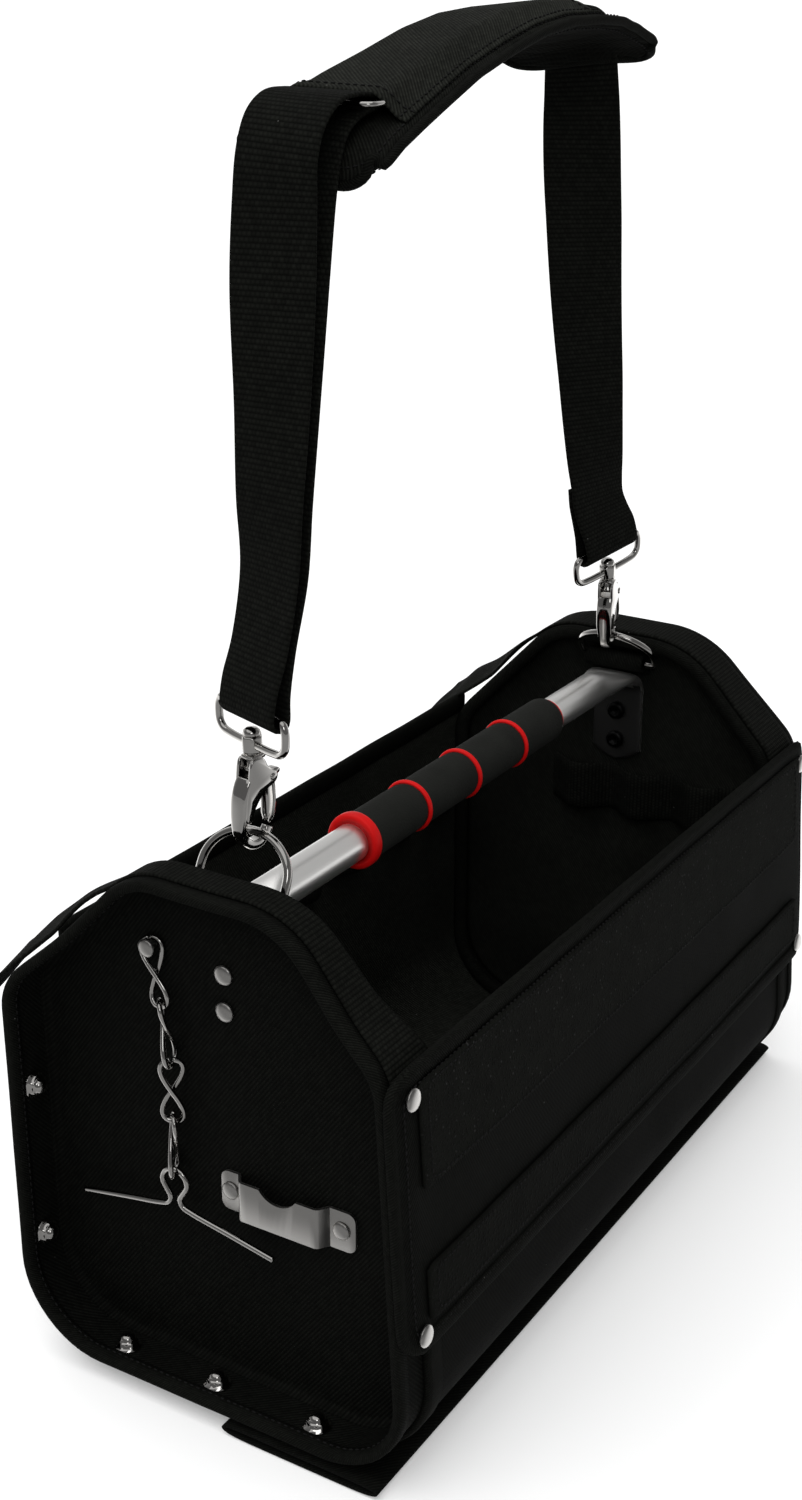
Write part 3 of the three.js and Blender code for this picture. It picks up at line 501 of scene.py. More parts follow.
def tone_group():
    """Cloth colour: painted shade between yarns, uneven dye, rubbed patches and a little lint."""
    group, t, get, end = node_group(
        "Cloth tone", "ShaderNodeTree",
        [("Vector", "Vector", None), ("Colour", "Color", (0.01, 0.01, 0.01, 1)), ("Height", "Float", 0.5),
         ("Yarn", "Float", 0.5), ("Rub", "Float", 0.3)],
        [("Colour", "Color"), ("Roughness", "Float")])
    dye = t.add("ShaderNodeTexNoise", {"Vector": get["Vector"], "Scale": 24.0, "Detail": 4.0})
    rub = t.add("ShaderNodeTexNoise", {"Vector": get["Vector"], "Scale": 7.0, "Detail": 5.0, "Roughness": 0.65})
    lint = t.add("ShaderNodeTexVoronoi", {"Vector": get["Vector"], "Scale": 130.0})
    level = t.math("MULTIPLY_ADD", dye.outputs["Fac"], 0.7, 0.5)
    # Painted shade: darker where the weave is low, between the yarns.
    level = t.math("MULTIPLY", level, t.math("MULTIPLY_ADD", get["Height"], 0.85, 0.35))
    level = t.math("MULTIPLY", level, t.math("MULTIPLY_ADD", get["Yarn"], 0.5, 0.75))
    worn = t.math("SMOOTH_MAX", t.math("SUBTRACT", rub.outputs["Fac"], 0.5), 0.0, 0.1)
    level = t.math("ADD", level, t.math("MULTIPLY", t.math("MULTIPLY", worn, get["Rub"]), 3.0))
    scaled = t.add("ShaderNodeVectorMath", {0: get["Colour"]}, operation="SCALE")
    t.put(level, scaled.inputs["Scale"])
    speck = t.math("LESS_THAN", lint.outputs["Distance"], 0.045)
    few = t.math("GREATER_THAN", t.add("ShaderNodeSeparateColor", {0: lint.outputs["Color"]}).outputs[0], 0.86)
    speck = t.math("MULTIPLY", t.math("MULTIPLY", speck, few), 0.5)
    t.put(t.mix(speck, scaled.outputs[0], (0.2, 0.2, 0.19, 1)), end["Colour"])
    t.put(t.math("MULTIPLY_ADD", dye.outputs["Fac"], 0.2, 0.68), end["Roughness"])
    return group


def smudge_group():
    """Handled metal: uneven polish."""
    group, t, get, end = node_group(
        "Metal polish", "ShaderNodeTree",
        [("Vector", "Vector", None), ("Roughness", "Float", 0.15), ("Spread", "Float", 0.1)], [("Roughness", "Float")])
    cloud = t.add("ShaderNodeTexNoise", {"Vector": get["Vector"], "Scale": 60.0, "Detail": 5.0})
    uneven = t.math("MULTIPLY", t.math("SUBTRACT", cloud.outputs["Fac"], 0.5), get["Spread"])
    t.put(t.math("ADD", get["Roughness"], uneven), end["Roughness"])
    return group


def start_material(name, **sockets):
    """A new material with some of its shader's inputs set, as (material, tree, shader's inputs)."""
    material = bpy.data.materials.new(name)
    material.use_nodes = True
    inputs = material.node_tree.nodes["Principled BSDF"].inputs
    for key, value in sockets.items():
        inputs[key.replace("_", " ")].default_value = value
    return material, Tree(material.node_tree), inputs


def bump(t, inputs, height, distance, strength=1.0):
    node = t.add("ShaderNodeBump", {"Height": height, "Distance": distance, "Strength": strength})
    t.put(node.outputs[0], inputs["Normal"])


def field(t, kind, **values):
    """A texture over an object's own coordinates in metres."""
    where = t.add("ShaderNodeTexCoord").outputs["Object"]
    texture = t.add(f"ShaderNodeTex{kind}", {"Vector": where, **values})
    return texture.outputs["Fac" if kind == "Noise" else "Distance"]


# Woven finishes: material, colour and its factor, weave, depth, rub, coordinates and the weave's own two inputs.
CLOTHS = {
    "twill": ("Black twill", "cloth", 1, "twill", 0.00022, 0.25, "UV", 0.0015, 0.62),
    "board": ("End board twill", "cloth", 1, "twill", 0.0002, 0.2, "UV", 0.0017, 2.5),
    # The insides take the cloth colour made lighter: painted light where the bag's inside gets less light than its
    # outside.
    "inside_painted_light": ("Inside of the twill", "cloth", 4, "twill", 0.00016, 0.25, "UV", 0.0015, 0.62),
    "end_inside_painted_light": ("Inside of the ends", "cloth", 2.4, "twill", 0.00016, 0.25, "UV", 0.0015, 0.62),
    "binding": ("Binding tape", "webbing", 1, "twill", 0.0002, 0.35, "UV", 0.0011, 0.9),
    "webbing": ("Strap webbing", "webbing", 1, "webbing", 0.0004, 0.35, "UV", 0.0024, 0.0022),
    "band": ("Arch webbing", "webbing", 1, "webbing", 0.0003, 0.3, "UV", 0.0022, 0.0018),
    # The pad cover and sleeve take the webbing colour made lighter: partly worn cloth, partly painted light on the
    # pad's top.
    "pad": ("Pad cover", "webbing", 1.3, "twill", 0.00016, 0.4, "Object", 0.0013, 0.75),
    "sleeve": ("Pad sleeve", "webbing", 2.6, "twill", 0.0002, 0.4, "UV", 0.0015, 0.75),
}
# Metal finishes: material, colour and its factor, roughness and its spread, and how dark a face seen head-on is
# painted, as a painted reflection.
METALS = {
    "plate": ("Bright plate", "plate", 1, 0.08, 0.08, 0.17),
    "satin": ("Satin plate", "plate", 0.8, 0.33, 0.15, 0.17),
    "black": ("Black screw", (0.03, 0.03, 0.03), 1, 0.4, 0.1, 0.17),
    "steel": ("Satin tube", "steel", 1, 0.32, 0.05, 0.8),
    # The tab's flat faces take the steel colour made very dark: painted shade standing in for the dark inside that they
    # mirror.
    "tab": ("Tab face", "steel", 0.09, 0.5, 0.1, 0.6),
}
# Fastening tapes: material, colour and its factor, scale of the pile, depth and share of painted glints.
PILES = {
    "hooks": ("Hook tape", "webbing", 0.8, 620.0, 0.0006, 0.05),
    "loops": ("Loop tape", "cloth", 0.9, 480.0, 0.0005, 0.0),
}


class Finishes:
    """The bag's materials, made once."""

    def __init__(self, colours):
        self.colours = colours
        self.weaves = {"twill": twill_group(), "webbing": webbing_group()}
        self.tone = tone_group()
        self.polish = smudge_group()
        self.made = {}

    def colour(self, base, factor):
        """One of the bag's colours, or one that is given, made lighter or darker."""
        return rgba(getattr(self.colours, base) if isinstance(base, str) else base, factor)

    def cloth(self, name, base, factor, weave, depth, rub, coords, *own):
        m, t, put_in = start_material(name, Metallic=0.0, Specular_IOR_Level=0.025)
        where = t.add("ShaderNodeTexCoord").outputs
        yarns = t.add("ShaderNodeGroup", dict(enumerate((where[coords], *own))), node_tree=self.weaves[weave]).outputs
        tone = t.add("ShaderNodeGroup", {
            "Vector": where["Object"], "Colour": self.colour(base, factor), "Height": yarns["Height"],
            "Yarn": yarns["Yarn"], "Rub": rub}, node_tree=self.tone).outputs
        t.put(tone["Colour"], put_in["Base Color"])
        t.put(tone["Roughness"], put_in["Roughness"])
        bump(t, put_in, yarns["Height"], depth)
        return m

    def metal(self, name, base, factor, rough, spread, head_on_painted_dark):
        m, t, put_in = start_material(name, Metallic=1.0)
        colour = self.colour(base, factor)
        # Painted reflection: faces seen head-on take a darker colour and edge-on faces the full colour, standing in for
        # dark surroundings mirrored in the metal.
        facing = t.add("ShaderNodeLayerWeight", {"Blend": 0.5}).outputs["Facing"]
        edge = t.add("ShaderNodeMapRange", {"Value": facing, "From Min": 0.25, "From Max": 0.72},
                     interpolation_type="SMOOTHSTEP")
        t.put(t.mix(edge.outputs[0], rgba(colour[:3], head_on_painted_dark), colour), put_in["Base Color"])
        where = t.add("ShaderNodeTexCoord").outputs["Object"]
        polish = t.add("ShaderNodeGroup", {"Vector": where, "Roughness": rough, "Spread": spread},
                       node_tree=self.polish)
        t.put(polish.outputs["Roughness"], put_in["Roughness"])
        return m

    def pile(self, name, base, factor, scale, depth, glint):
        """A field of tiny hooks or loops, with painted glints on a share of the hooks."""
        m, t, put_in = start_material(name, Specular_IOR_Level=0.03, Roughness=0.85)
        colour = self.colour(base, factor)[:3]
        where = t.add("ShaderNodeTexCoord").outputs["UV"]
        cells = t.add("ShaderNodeTexVoronoi", {"Vector": where, "Scale": scale})
        slow = t.add("ShaderNodeTexNoise", {"Vector": where, "Scale": 90.0, "Detail": 4.0})
        spot = t.add("ShaderNodeMapRange", {
            "Value": cells.outputs["Distance"], "From Min": 0.1, "From Max": 0.5, "To Min": 1.0, "To Max": 0.0})
        pick = t.add("ShaderNodeSeparateColor", {0: cells.outputs["Color"]})
        # Painted highlight: a share of the cells is mixed towards light grey as glints.
        painted_glint = t.math("MULTIPLY", t.math("GREATER_THAN", pick.outputs[0], 1 - glint), spot.outputs[0])
        base_colour = t.mix(slow.outputs["Fac"], rgba(colour, 0.4), rgba(colour, 1.5))
        t.put(t.mix(t.math("MULTIPLY", painted_glint, 0.4), base_colour, (0.08, 0.08, 0.08, 1)), put_in["Base Color"])
        bump(t, put_in, spot.outputs[0], depth)
        return m

    def foam(self):
        m, t, put_in = start_material("Grip foam", Roughness=0.95, Specular_IOR_Level=0.1)
        slow = field(t, "Noise", Scale=60.0, Detail=5.0)
        t.put(t.mix(slow, self.colour("foam", 0.6), self.colour("foam", 1.4)), put_in["Base Color"])
        bump(t, put_in, field(t, "Voronoi", Scale=900.0), 0.0003, 0.7)
        return m

    def red(self):
        m, t, put_in = start_material("Red trim", Specular_IOR_Level=0.08)
        slow = field(t, "Noise", Scale=120.0, Detail=4.0)
        t.put(t.mix(slow, self.colour("red", 0.8), self.colour("red", 1.15)), put_in["Base Color"])
        t.put(t.math("MULTIPLY_ADD", slow, 0.25, 0.3), put_in["Roughness"])
        bump(t, put_in, slow, 0.00015, 0.4)
        return m

    def thread(self):
        m, t, put_in = start_material("Thread", Roughness=0.8, Specular_IOR_Level=0.05)
        twist = field(t, "Noise", Scale=1500.0, Detail=2.0)
        t.put(t.mix(twist, (0.003, 0.003, 0.003, 1), (0.011, 0.011, 0.011, 1)), put_in["Base Color"])
        bump(t, put_in, twist, 0.0001, 0.5)
        return m

    def mesh(self):
        m, t, put_in = start_material("Pad spacer mesh", Roughness=0.9, Specular_IOR_Level=0.02)
        holes = field(t, "Voronoi", Scale=420.0, Randomness=0.25)
        # Painted shade: the holes of the mesh are mixed towards black.
        hole_painted_shade = t.mix(t.math("MULTIPLY", holes, 1.6), (0.001, 0.001, 0.001, 1), self.colour("webbing", 0.7))
        t.put(hole_painted_shade, put_in["Base Color"])
        bump(t, put_in, holes, 0.0006)
        return m

    def get(self, name):
        if name not in self.made:
            for table, make in ((CLOTHS, self.cloth), (METALS, self.metal), (PILES, self.pile)):
                if name in table:
                    self.made[name] = make(*table[name])
                    break
            else:
                self.made[name] = {"foam": self.foam, "red": self.red, "thread": self.thread, "mesh": self.mesh}[name]()
        return self.made[name]


FINISH = {}


def finish(name):
    """A named finish of this bag."""
    if "set" not in FINISH:
        FINISH["set"] = Finishes(bpy.context.scene.bag_colours)
    return FINISH["set"].get(name)


def second_finish(obj, name, picked):
    """Gives the picked faces a finish of their own."""
    obj.data.materials.append(finish(name))
    for face in obj.data.polygons:
        face.material_index = int(picked(face))


# Geometry node trees

def stitch_tree():
    """Stitches along the edges of a mesh of seam lines."""
    tree, t, get, end = node_group(
        "Stitch rows", "GeometryNodeTree",
        [("Seams", "Geometry", None), ("Pitch", "Float", 0.0036), ("Length", "Float", 0.0026),
         ("Thickness", "Float", 0.0009), ("Thread", "Material", None)], [("Stitches", "Geometry")])
    line = t.add("GeometryNodeMeshToCurve", {"Mesh": get["Seams"]})
    spaced = t.add("GeometryNodeResampleCurve", {"Curve": line.outputs[0], "Length": get["Pitch"]}, mode="LENGTH")
    bead = t.add("GeometryNodeMeshUVSphere", {"Segments": 6, "Rings": 4, "Radius": 0.5})
    size = t.add("ShaderNodeCombineXYZ", {0: get["Length"], 1: get["Thickness"], 2: get["Thickness"]})
    shaped = t.add("GeometryNodeTransform", {"Geometry": bead.outputs[0], "Scale": size.outputs[0]})
    way = t.add("GeometryNodeInputTangent")
    turn = t.add("FunctionNodeAlignRotationToVector", {"Vector": way.outputs[0]}, axis="X")
    copied = t.add("GeometryNodeInstanceOnPoints", {
        "Points": spaced.outputs[0], "Instance": shaped.outputs[0], "Rotation": turn.outputs[0]})
    real = t.add("GeometryNodeRealizeInstances", {0: copied.outputs[0]})
    smooth = t.add("GeometryNodeSetShadeSmooth", {0: real.outputs[0]})
    coat = t.add("GeometryNodeSetMaterial", {"Geometry": smooth.outputs[0], "Material": get["Thread"]})
    t.put(coat.outputs[0], end[0])
    return tree


def copies_tree():
    """Copies of one shape on points that carry their own turn."""
    tree, t, get, end = node_group(
        "Placed copies", "GeometryNodeTree",
        [("Points", "Geometry", None), ("Shape", "Object", None), ("Size", "Float", 1.0), ("Finish", "Material", None)],
        [("Copies", "Geometry")])
    shape = t.add("GeometryNodeObjectInfo", {"Object": get["Shape"]})
    turn = t.add("GeometryNodeInputNamedAttribute", {"Name": "turn"}, data_type="FLOAT_VECTOR")
    spin = t.add("FunctionNodeEulerToRotation", {0: turn.outputs[0]})
    copied = t.add("GeometryNodeInstanceOnPoints", {
        "Points": get["Points"], "Instance": shape.outputs["Geometry"], "Rotation": spin.outputs[0],
        "Scale": get["Size"]})
    real = t.add("GeometryNodeRealizeInstances", {0: copied.outputs[0]})
    coat = t.add("GeometryNodeSetMaterial", {"Geometry": real.outputs[0], "Material": get["Finish"]})
    t.put(coat.outputs[0], end[0])
    return tree


TREES = {}


def run_tree(obj, make, values):
    """Puts a node tree on an object, sets its inputs and leaves a plain mesh."""
    if make not in TREES:
        TREES[make] = make()
    tree = TREES[make]
    modifier = obj.modifiers.new(tree.name, "NODES")
    modifier.node_group = tree
    for item in tree.interface.items_tree:
        if item.in_out == "INPUT" and item.name in values:
            modifier[item.identifier] = values[item.name]
    bpy.context.evaluated_depsgraph_get().update()
    flatten(obj)
    if len(obj.data.polygons) == 0:
        raise RuntimeError(f"{obj.name} came out empty")
    return obj


def stitches(name, lines, pitch):
    """Rows of thread along millimetre lines."""
    points, edges = [], []
    for line in lines:
        edges += [(len(points) + k, len(points) + k + 1) for k in range(len(line) - 1)]
        points += to_frame(line).tolist()
    mesh = bpy.data.meshes.new(name)
    mesh.from_pydata(points, edges, [])
    return run_tree(add_object(name, mesh), stitch_tree, {"Pitch": pitch, "Thread": finish("thread")})


def copies(name, shape, matrices, material):
    """One object with a copy of a shape at each matrix; the shape itself is used up."""
    mesh = bpy.data.meshes.new(name)
    mesh.from_pydata([Vector(to_frame(m.translation)) for m in matrices], [], [])
    turn = mesh.attributes.new("turn", "FLOAT_VECTOR", "POINT")
    for item, m in zip(turn.data, matrices):
        item.vector = m.to_euler("XYZ")
    obj = run_tree(add_object(name, mesh), copies_tree, {"Shape": shape, "Finish": material})
    if obj.data.attributes.get("turn"):
        obj.data.attributes.remove(obj.data.attributes["turn"])
    bpy.data.objects.remove(shape)
    return obj


# Sizes and colours

def size_property(label, text, default, low, high):
    return FloatProperty(name=label, description=text, default=default, min=low, max=high, unit="LENGTH")


def colour_property(label, text, *default):
    return FloatVectorProperty(name=label, description=text, subtype="COLOR", size=3, default=default, min=0, max=1)


class BagSizes(bpy.types.PropertyGroup):
    """Sizes that a user would change."""

    strap_width: size_property("Strap width", "Width of the shoulder webbing", 0.040, 0.02, 0.06)
    strap_thick: size_property("Strap thickness", "Thickness of the shoulder webbing", 0.002, 0.001, 0.004)
    grip_radius: size_property("Grip radius", "Outer radius of the foam grip", 0.0126, 0.011, 0.016)
    stitch_pitch: size_property("Stitch pitch", "Distance from stitch to stitch", 0.0036, 0.002, 0.008)


class BagColours(bpy.types.PropertyGroup):
    """Colours that a user would change."""

    cloth: colour_property("Cloth", "Colour of walls and ends", 0.0047, 0.0050, 0.0042)
    webbing: colour_property("Webbing", "Colour of strap, bands and bindings", 0.0062, 0.0066, 0.0055)
    plate: colour_property("Plated metal", "Colour of hooks, chain and rivets", 0.86, 0.84, 0.81)
    steel: colour_property("Handle steel", "Colour of the handle tube", 0.92, 0.91, 0.89)
    red: colour_property("Red trim", "Colour of the grip's collars and rings", 0.55, 0.006, 0.006)
    foam: colour_property("Grip foam", "Colour of the grip", 0.0100, 0.0105, 0.0092)
    floor: colour_property("Floor", "Colour of the studio floor", 0.78, 0.78, 0.78)


# Ends

def rim_ring(section, side, wave, seed):
    """Points of a band that runs round an end: section rows are an inset and a function from height to x."""
    rows = []
    for inset, x in section:
        flat = outline(inset)
        reach = x(flat[:, 1])
        shift = wave * ripple(flat[:, 0] + flat[:, 1], reach * 2, seed)
        rows.append(np.stack([side * (reach + shift), flat[:, 0], flat[:, 1]], axis=1))
    return settled(np.array(rows).transpose(1, 0, 2))


def end_panel(word, side):
    """The set-back panel with a soft corner where it meets the rim."""
    centre = np.array((0.0, 135.0))
    flat = outline(5.8)
    rows = []

    def swell(yz):
        away = 1 - np.clip(np.linalg.norm((yz - centre) / np.array((100.0, 125.0)), axis=1), 0, 1) ** 2
        return 0.5 * ripple(yz[:, 0], yz[:, 1], 2 + side) * away

    shares = (0.02, 0.14, 0.28, 0.42, 0.55, 0.67, 0.78, 0.88, 0.95, 1.0)
    for share in shares:
        yz = centre + (flat - centre) * share
        rows.append((PANEL_OUT + swell(yz), yz))
    for inset, rise in ((4.4, 0.35), (3.4, 1.2), (2.8, 2.8), (2.62, 5.0), (2.62, -2.6)):
        rows.append((PANEL_OUT + rise, outline(inset)))
    for share in shares[::-1]:
        yz = centre + (flat - centre) * share
        rows.append((PANEL_IN + swell(yz), yz))
    grid = settled([np.stack([side * (x + 0 * yz[:, 0]), yz[:, 0], yz[:, 1]], axis=1) for x, yz in rows])
    return grid_object(f"end_panel_{word}", grid, finish("board"), caps=True, uv=grid[..., 1:] * MM)


# Sections of the rim's two bindings: inset and x from the rim's outer or inner edge.
RIM_FOLD = ((-0.8, -7.7), (-0.9, -4.0), (-0.6, -1.6), (0.3, -0.3), (1.8, 0.0), (3.3, -0.3), (4.3, -1.6),
            (4.6, -4.0), (4.4, -7.7), (2.0, -7.6))
INNER_ROLL = ((-0.25, 7), (-0.3, 1.6), (0.2, 0), (1.4, -1.1), (3.2, -1.5), (5.2, -1.3), (6.8, -0.4), (7.7, 1.2),
              (7.8, 3.2), (6.6, 4.6), (3.6, 5.2), (3.4, 8))
BINDING_DEEP = 8


class BAG_OT_ends(bpy.types.Operator):
    """Both end trays: panel, rim wall, edge bindings and the webbing over the arch"""

    bl_idname = "toolbag.ends"
    bl_label = "End trays"

    def execute(self, context):
        shares = (0.0, 0.03, 0.2, 0.4, 0.6, 0.8, 0.97, 1.0)
        for word, side in SIDES:
            panel = end_panel(word, side)
            # The panel's inner faces take a lighter cloth colour as painted light.
            second_finish(panel, "end_inside_painted_light", lambda face: face.normal.x * side < -0.7)
            finish_piece(panel, nodes=(f"end_tray_{word}",))

            def between(f):
                return lambda z: inner_x(z, side) + f * (rim_x(z) - BINDING_DEEP - inner_x(z, side))

            def from_rim(k):
                return lambda z: rim_x(z) + k

            def from_inner(k):
                return lambda z: inner_x(z, side) + k

            wall = [(0.0, between(f)) for f in shares] + [(2.6, between(f)) for f in shares[::-1]]
            edge = [(d, from_rim(k)) for d, k in RIM_FOLD]
            hem = [(d, from_inner(k)) for d, k in INNER_ROLL]
            for name, section, wave, seed, look, slot, nodes in (
                    (f"rim_wall_{word}", wall, 0.0, 1, "twill", "cloth", ()),
                    (f"rim_binding_{word}_tape", edge, 0.25, 3, "binding", "webbing", (f"rim_binding_{word}",)),
                    (f"inner_binding_{word}", hem, 0.3, 5, "binding", "webbing", ())):
                ring = grid_object(name, rim_ring(section, side, wave, seed), finish(look), closed=True)
                finish_piece(ring, nodes=nodes)
            finish_piece(self.band(word, side), nodes=(f"arch_band_{word}",))
        return {"FINISHED"}

    def band(self, word, side):
        """Webbing over the arch, ending in a loose, twisted tail at the back."""
        flat = outline(-1.2)
        over = np.vstack([flat[4 * PER_CORNER + 2:], flat[:ARC_STEPS + 1]])
        path = smooth_path(np.vstack([over[::3], TAILS[word]]), 120)
        y, z = path.T
        along = tangents(path)
        normal = np.stack([-along[:, 1], along[:, 0]], axis=1)
        columns = []
        for f in np.linspace(0, 1, 9):
            inner = inner_x(np.where(y > 60, ARCH_FULL, z), side) + 3
            reach = inner + f * (rim_x(z) - BINDING_DEEP - 0.4 - inner)
            rise = (0.5 + 1.3 * smoothstep(y, 80, 110)) * ripple(y * 2, reach * 2, 4) * (y > 66)
            sag = 8.5 * (f if side < 0 else 1 - f) * smoothstep(y, 60, 86)
            columns.append(np.stack([side * reach, y + normal[:, 0] * rise, z + normal[:, 1] * rise - sag], 1))
        grid = np.stack(columns, axis=1)
        loose = smoothstep(y, 50, 80)[:, None, None]
        grid = settled(grid) * (1 - loose) + grid * loose
        return cloth_sheet(f"arch_band_{word}_webbing", grid, 1.8, finish("band"))


# Body

def wrap_line(offset):
    """Points (y, z) of the cloth wrap from the back's top edge round the base to the front."""
    base = outline(-offset)[2 * PER_CORNER:4 * PER_CORNER - SIDE_STEPS]
    top = np.array([(back_y(z) + offset, z) for z in np.linspace(214.5, 70, 18)])
    front = np.array([(front_y(z) - offset, z) for z in np.linspace(64, 206, 16)])
    return np.vstack([top, base, front])


class BAG_OT_body(bpy.types.Operator):
    """The cloth wrap: back wall, base and lower front wall, with bound edges"""

    bl_idname = "toolbag.body"
    bl_label = "Cloth body"

    def execute(self, context):
        line = wrap_line(1.5)
        high = (line[:, 0] > 0) & (line[:, 1] > 191)
        left, right = (np.where(high, top, 226.6) - 13.6 * smoothstep(-line[:, 0], 60, 100) for top in (188.0, 201.0))
        count = 61
        share = np.linspace(-1, 1, count)
        x = np.where(share < 0, left[:, None], right[:, None]) * share
        grid = np.stack([x, np.repeat(line[:, :1], count, 1), np.repeat(line[:, 1:], count, 1)], axis=2)
        wall = smoothstep(grid[..., 2], 40, 90) * (1 - np.abs(share) ** 3) * np.sign(grid[..., 1])
        grid[..., 1] += wall * (0.8 * ripple(grid[..., 0], grid[..., 2], 6) - 0.8)
        wrap = cloth_sheet("body_wrap_cloth", grid, 2.4, finish("twill"))
        middle = Vector(to_frame((0, 0, 130)))
        # Inward faces take a lighter cloth colour as painted light.
        second_finish(wrap, "inside_painted_light", lambda face: face.normal.dot(middle - face.center) > 0.03)
        finish_piece(wrap, nodes=("body_wrap",))
        hem = np.array([(-2.1, -10), (-2.2, -1), (-1.4, 0.9), (0, 1.5), (1.4, 0.9), (2.2, -1), (2.1, -10)])
        finish_piece(sweep("back_hem", grid[0], (0, 1, 0), (0, 0, 1), hem, finish("binding")))
        for word, side in SIDES:
            column = grid[:, 0 if side < 0 else -1]
            path = smooth_path(column[(column[:, 1] < -60) & (column[:, 2] > 11)], 60)
            normal = np.cross(tangents(path), (side, 0, 0))
            edge = sweep(f"front_edge_{word}", path, (side, 0, 0), normal, hem[:, ::-1], finish("binding"))
            finish_piece(edge)
        return {"FINISHED"}


# Front panel

def panel_face(x, z, offset):
    """Y of the front panel's outer face, moved out by an offset: it bellies a little between its rivets."""
    x, z = np.asarray(x, dtype=float), np.asarray(z, dtype=float)
    belly = 2.2 * np.sin(np.pi * np.clip((z - 79) / 137.5, 0, 1)) * (1 - np.abs(x / 235) ** 4)
    curl = 2.5 * smoothstep(np.abs(x), 222, 235)
    return front_y(z) - 6.5 - offset - belly * 0.6 + curl + 0.35 * ripple(x, z, 8)


def panel_sheet(name, half, top, low, corner, offset, thick, material):
    """A sheet with rounded corners on the front panel's face."""
    share = np.linspace(-1, 1, 97)
    x = half * np.sign(share) * np.abs(share) ** 0.9
    over = np.maximum(np.abs(x) - (half - corner), 0)
    drop = corner - np.sqrt(np.maximum(corner**2 - over**2, 0))
    v = np.linspace(0, 1, 31)[:, None]
    z = (top - drop) * (1 - v) + (low + drop) * v
    xs = np.repeat(x[None], len(v), 0)
    grid = np.stack([xs, panel_face(xs, z, offset) + thick / 2, z], axis=2)
    return cloth_sheet(name, grid, thick, material, np.stack([xs, z], axis=2) * MM)


def round_corners(x0, x1, z0, z1, r):
    """Corners of a rounded rectangle, each as its own run of points, from the right top one on."""
    for cx, cz, start in ((x1 - r, z1 - r, 0), (x0 + r, z1 - r, 90), (x0 + r, z0 + r, 180), (x1 - r, z0 + r, 270)):
        yield [(cx + r * math.cos(a), cz + r * math.sin(a)) for a in arc(start, start + 90, 7)]


def panel_edge(half, top, low, corner, inset, offset):
    """A closed line round the panel, inside its edge by an inset."""
    h = half - inset
    corners = round_corners(-h, h, low + inset, top - inset, max(corner - inset, 1.0))
    line = smooth_path(np.vstack(list(corners)), 240, closed=True)
    line = np.vstack([line, line[:1]])
    return np.stack([line[:, 0], panel_face(line[:, 0], line[:, 1], offset), line[:, 1]], axis=1)


class BAG_OT_front(bpy.types.Operator):
    """Front panel with its binding and the two fastening strips"""

    bl_idname = "toolbag.front"
    bl_label = "Front panel"

    def execute(self, context):
        thick = 3.5
        panel = panel_sheet("front_panel_cloth", *PANEL, 0.0, thick, finish("twill"))
        finish_piece(panel, nodes=("front_panel",))
        closed = panel_edge(*PANEL, 0.0, -thick / 2)
        path = closed[:-1]
        up = (0, -1, 0)
        out = unit(np.cross(up, tangents(path, True)))
        out *= np.sign((out * (path - np.array((0, closed[:, 1].mean(), 148)))).sum(axis=1, keepdims=True))
        fold = np.array([(-9, 2.3), (-1, 2.4), (0.6, 1.6), (1.0, 0), (0.6, -1.6), (-1, -2.4), (-9, -2.3)])
        finish_piece(sweep("front_panel_binding", path, out, up, fold, finish("binding"), closed=True))
        hook = panel_sheet("hook_strip_tape", *HOOK_STRIP, 2.0, 1.7, finish("hooks"))
        finish_piece(hook, nodes=("hook_strip",))
        loop = panel_sheet("loop_strip_tape", *LOOP_STRIP, 2.3, 2.0, finish("loops"))
        finish_piece(loop, nodes=("loop_strip",))
        return {"FINISHED"}


class BAG_OT_sleeve(bpy.types.Operator):
    """Flat sleeve under the base, open at both ends"""

    bl_idname = "toolbag.sleeve"
    bl_label = "Base sleeve"

    def execute(self, context):
        a = circle(72)
        run = np.linspace(-235, 235, 61)[:, None]
        lip = smoothstep(np.abs(run), 215, 235)
        rings = []
        for half, tall in ((43.0, 3.4), (41.1, 1.5)):
            y, z = squarish(np.cos(a), 0.28) * half, squarish(np.sin(a), 0.9) * tall
            height = 3.5 + z * (1 - 0.1 * lip) + 0.25 * ripple(run, y * 2, 9) * (z > 0)
            rings.append(np.stack(np.broadcast_arrays(run, y - 55.0, height), axis=2))
        shell = np.concatenate([rings[0], rings[1][::-1]], axis=0)
        obj = grid_object("base_sleeve_cloth", shell, finish("twill"), closed=True)
        finish_piece(obj, nodes=("base_sleeve",))
        return {"FINISHED"}


# Handle

def along_x(name, profile, material):
    """A turned piece on the handle's axis, from (radius, x) rows."""
    return place(turned(name, profile, material, 48), axis_matrix((0, 0, TUBE_Z), (1, 0, 0)))


def tube_rows():
    """Rows of the handle's tube from its middle to one tab's foot: x, z, normal, flatness and width share."""
    tab_x, foot, bend, flat_from = 199.6, 194, 12, 158
    bend_x, bend_z = tab_x - bend, TUBE_Z - bend
    rows = [(x, TUBE_Z, 0, 1, float(smoothstep(x, flat_from, bend_x + 6)), 1)
            for x in np.r_[0, 60, 120, 150, np.linspace(flat_from, bend_x, 12)]]
    rows += [(bend_x + bend * math.sin(a), bend_z + bend * math.cos(a), math.sin(a), math.cos(a),
              0.85 + 0.15 * a / (math.pi / 2), 1) for a in arc(11.25, 90, 8)]
    rows += [(tab_x, foot + rise, 1, 0, 1, narrow) for rise, narrow in (
        (30, 1), (14, 1), (7, 1), (6.5, 1), (5.4, 0.92), (4.2, 0.83), (2.8, 0.69), (1.6, 0.53), (0.8, 0.38),
        (0.2, 0.2), (0, 0.06))]
    return rows


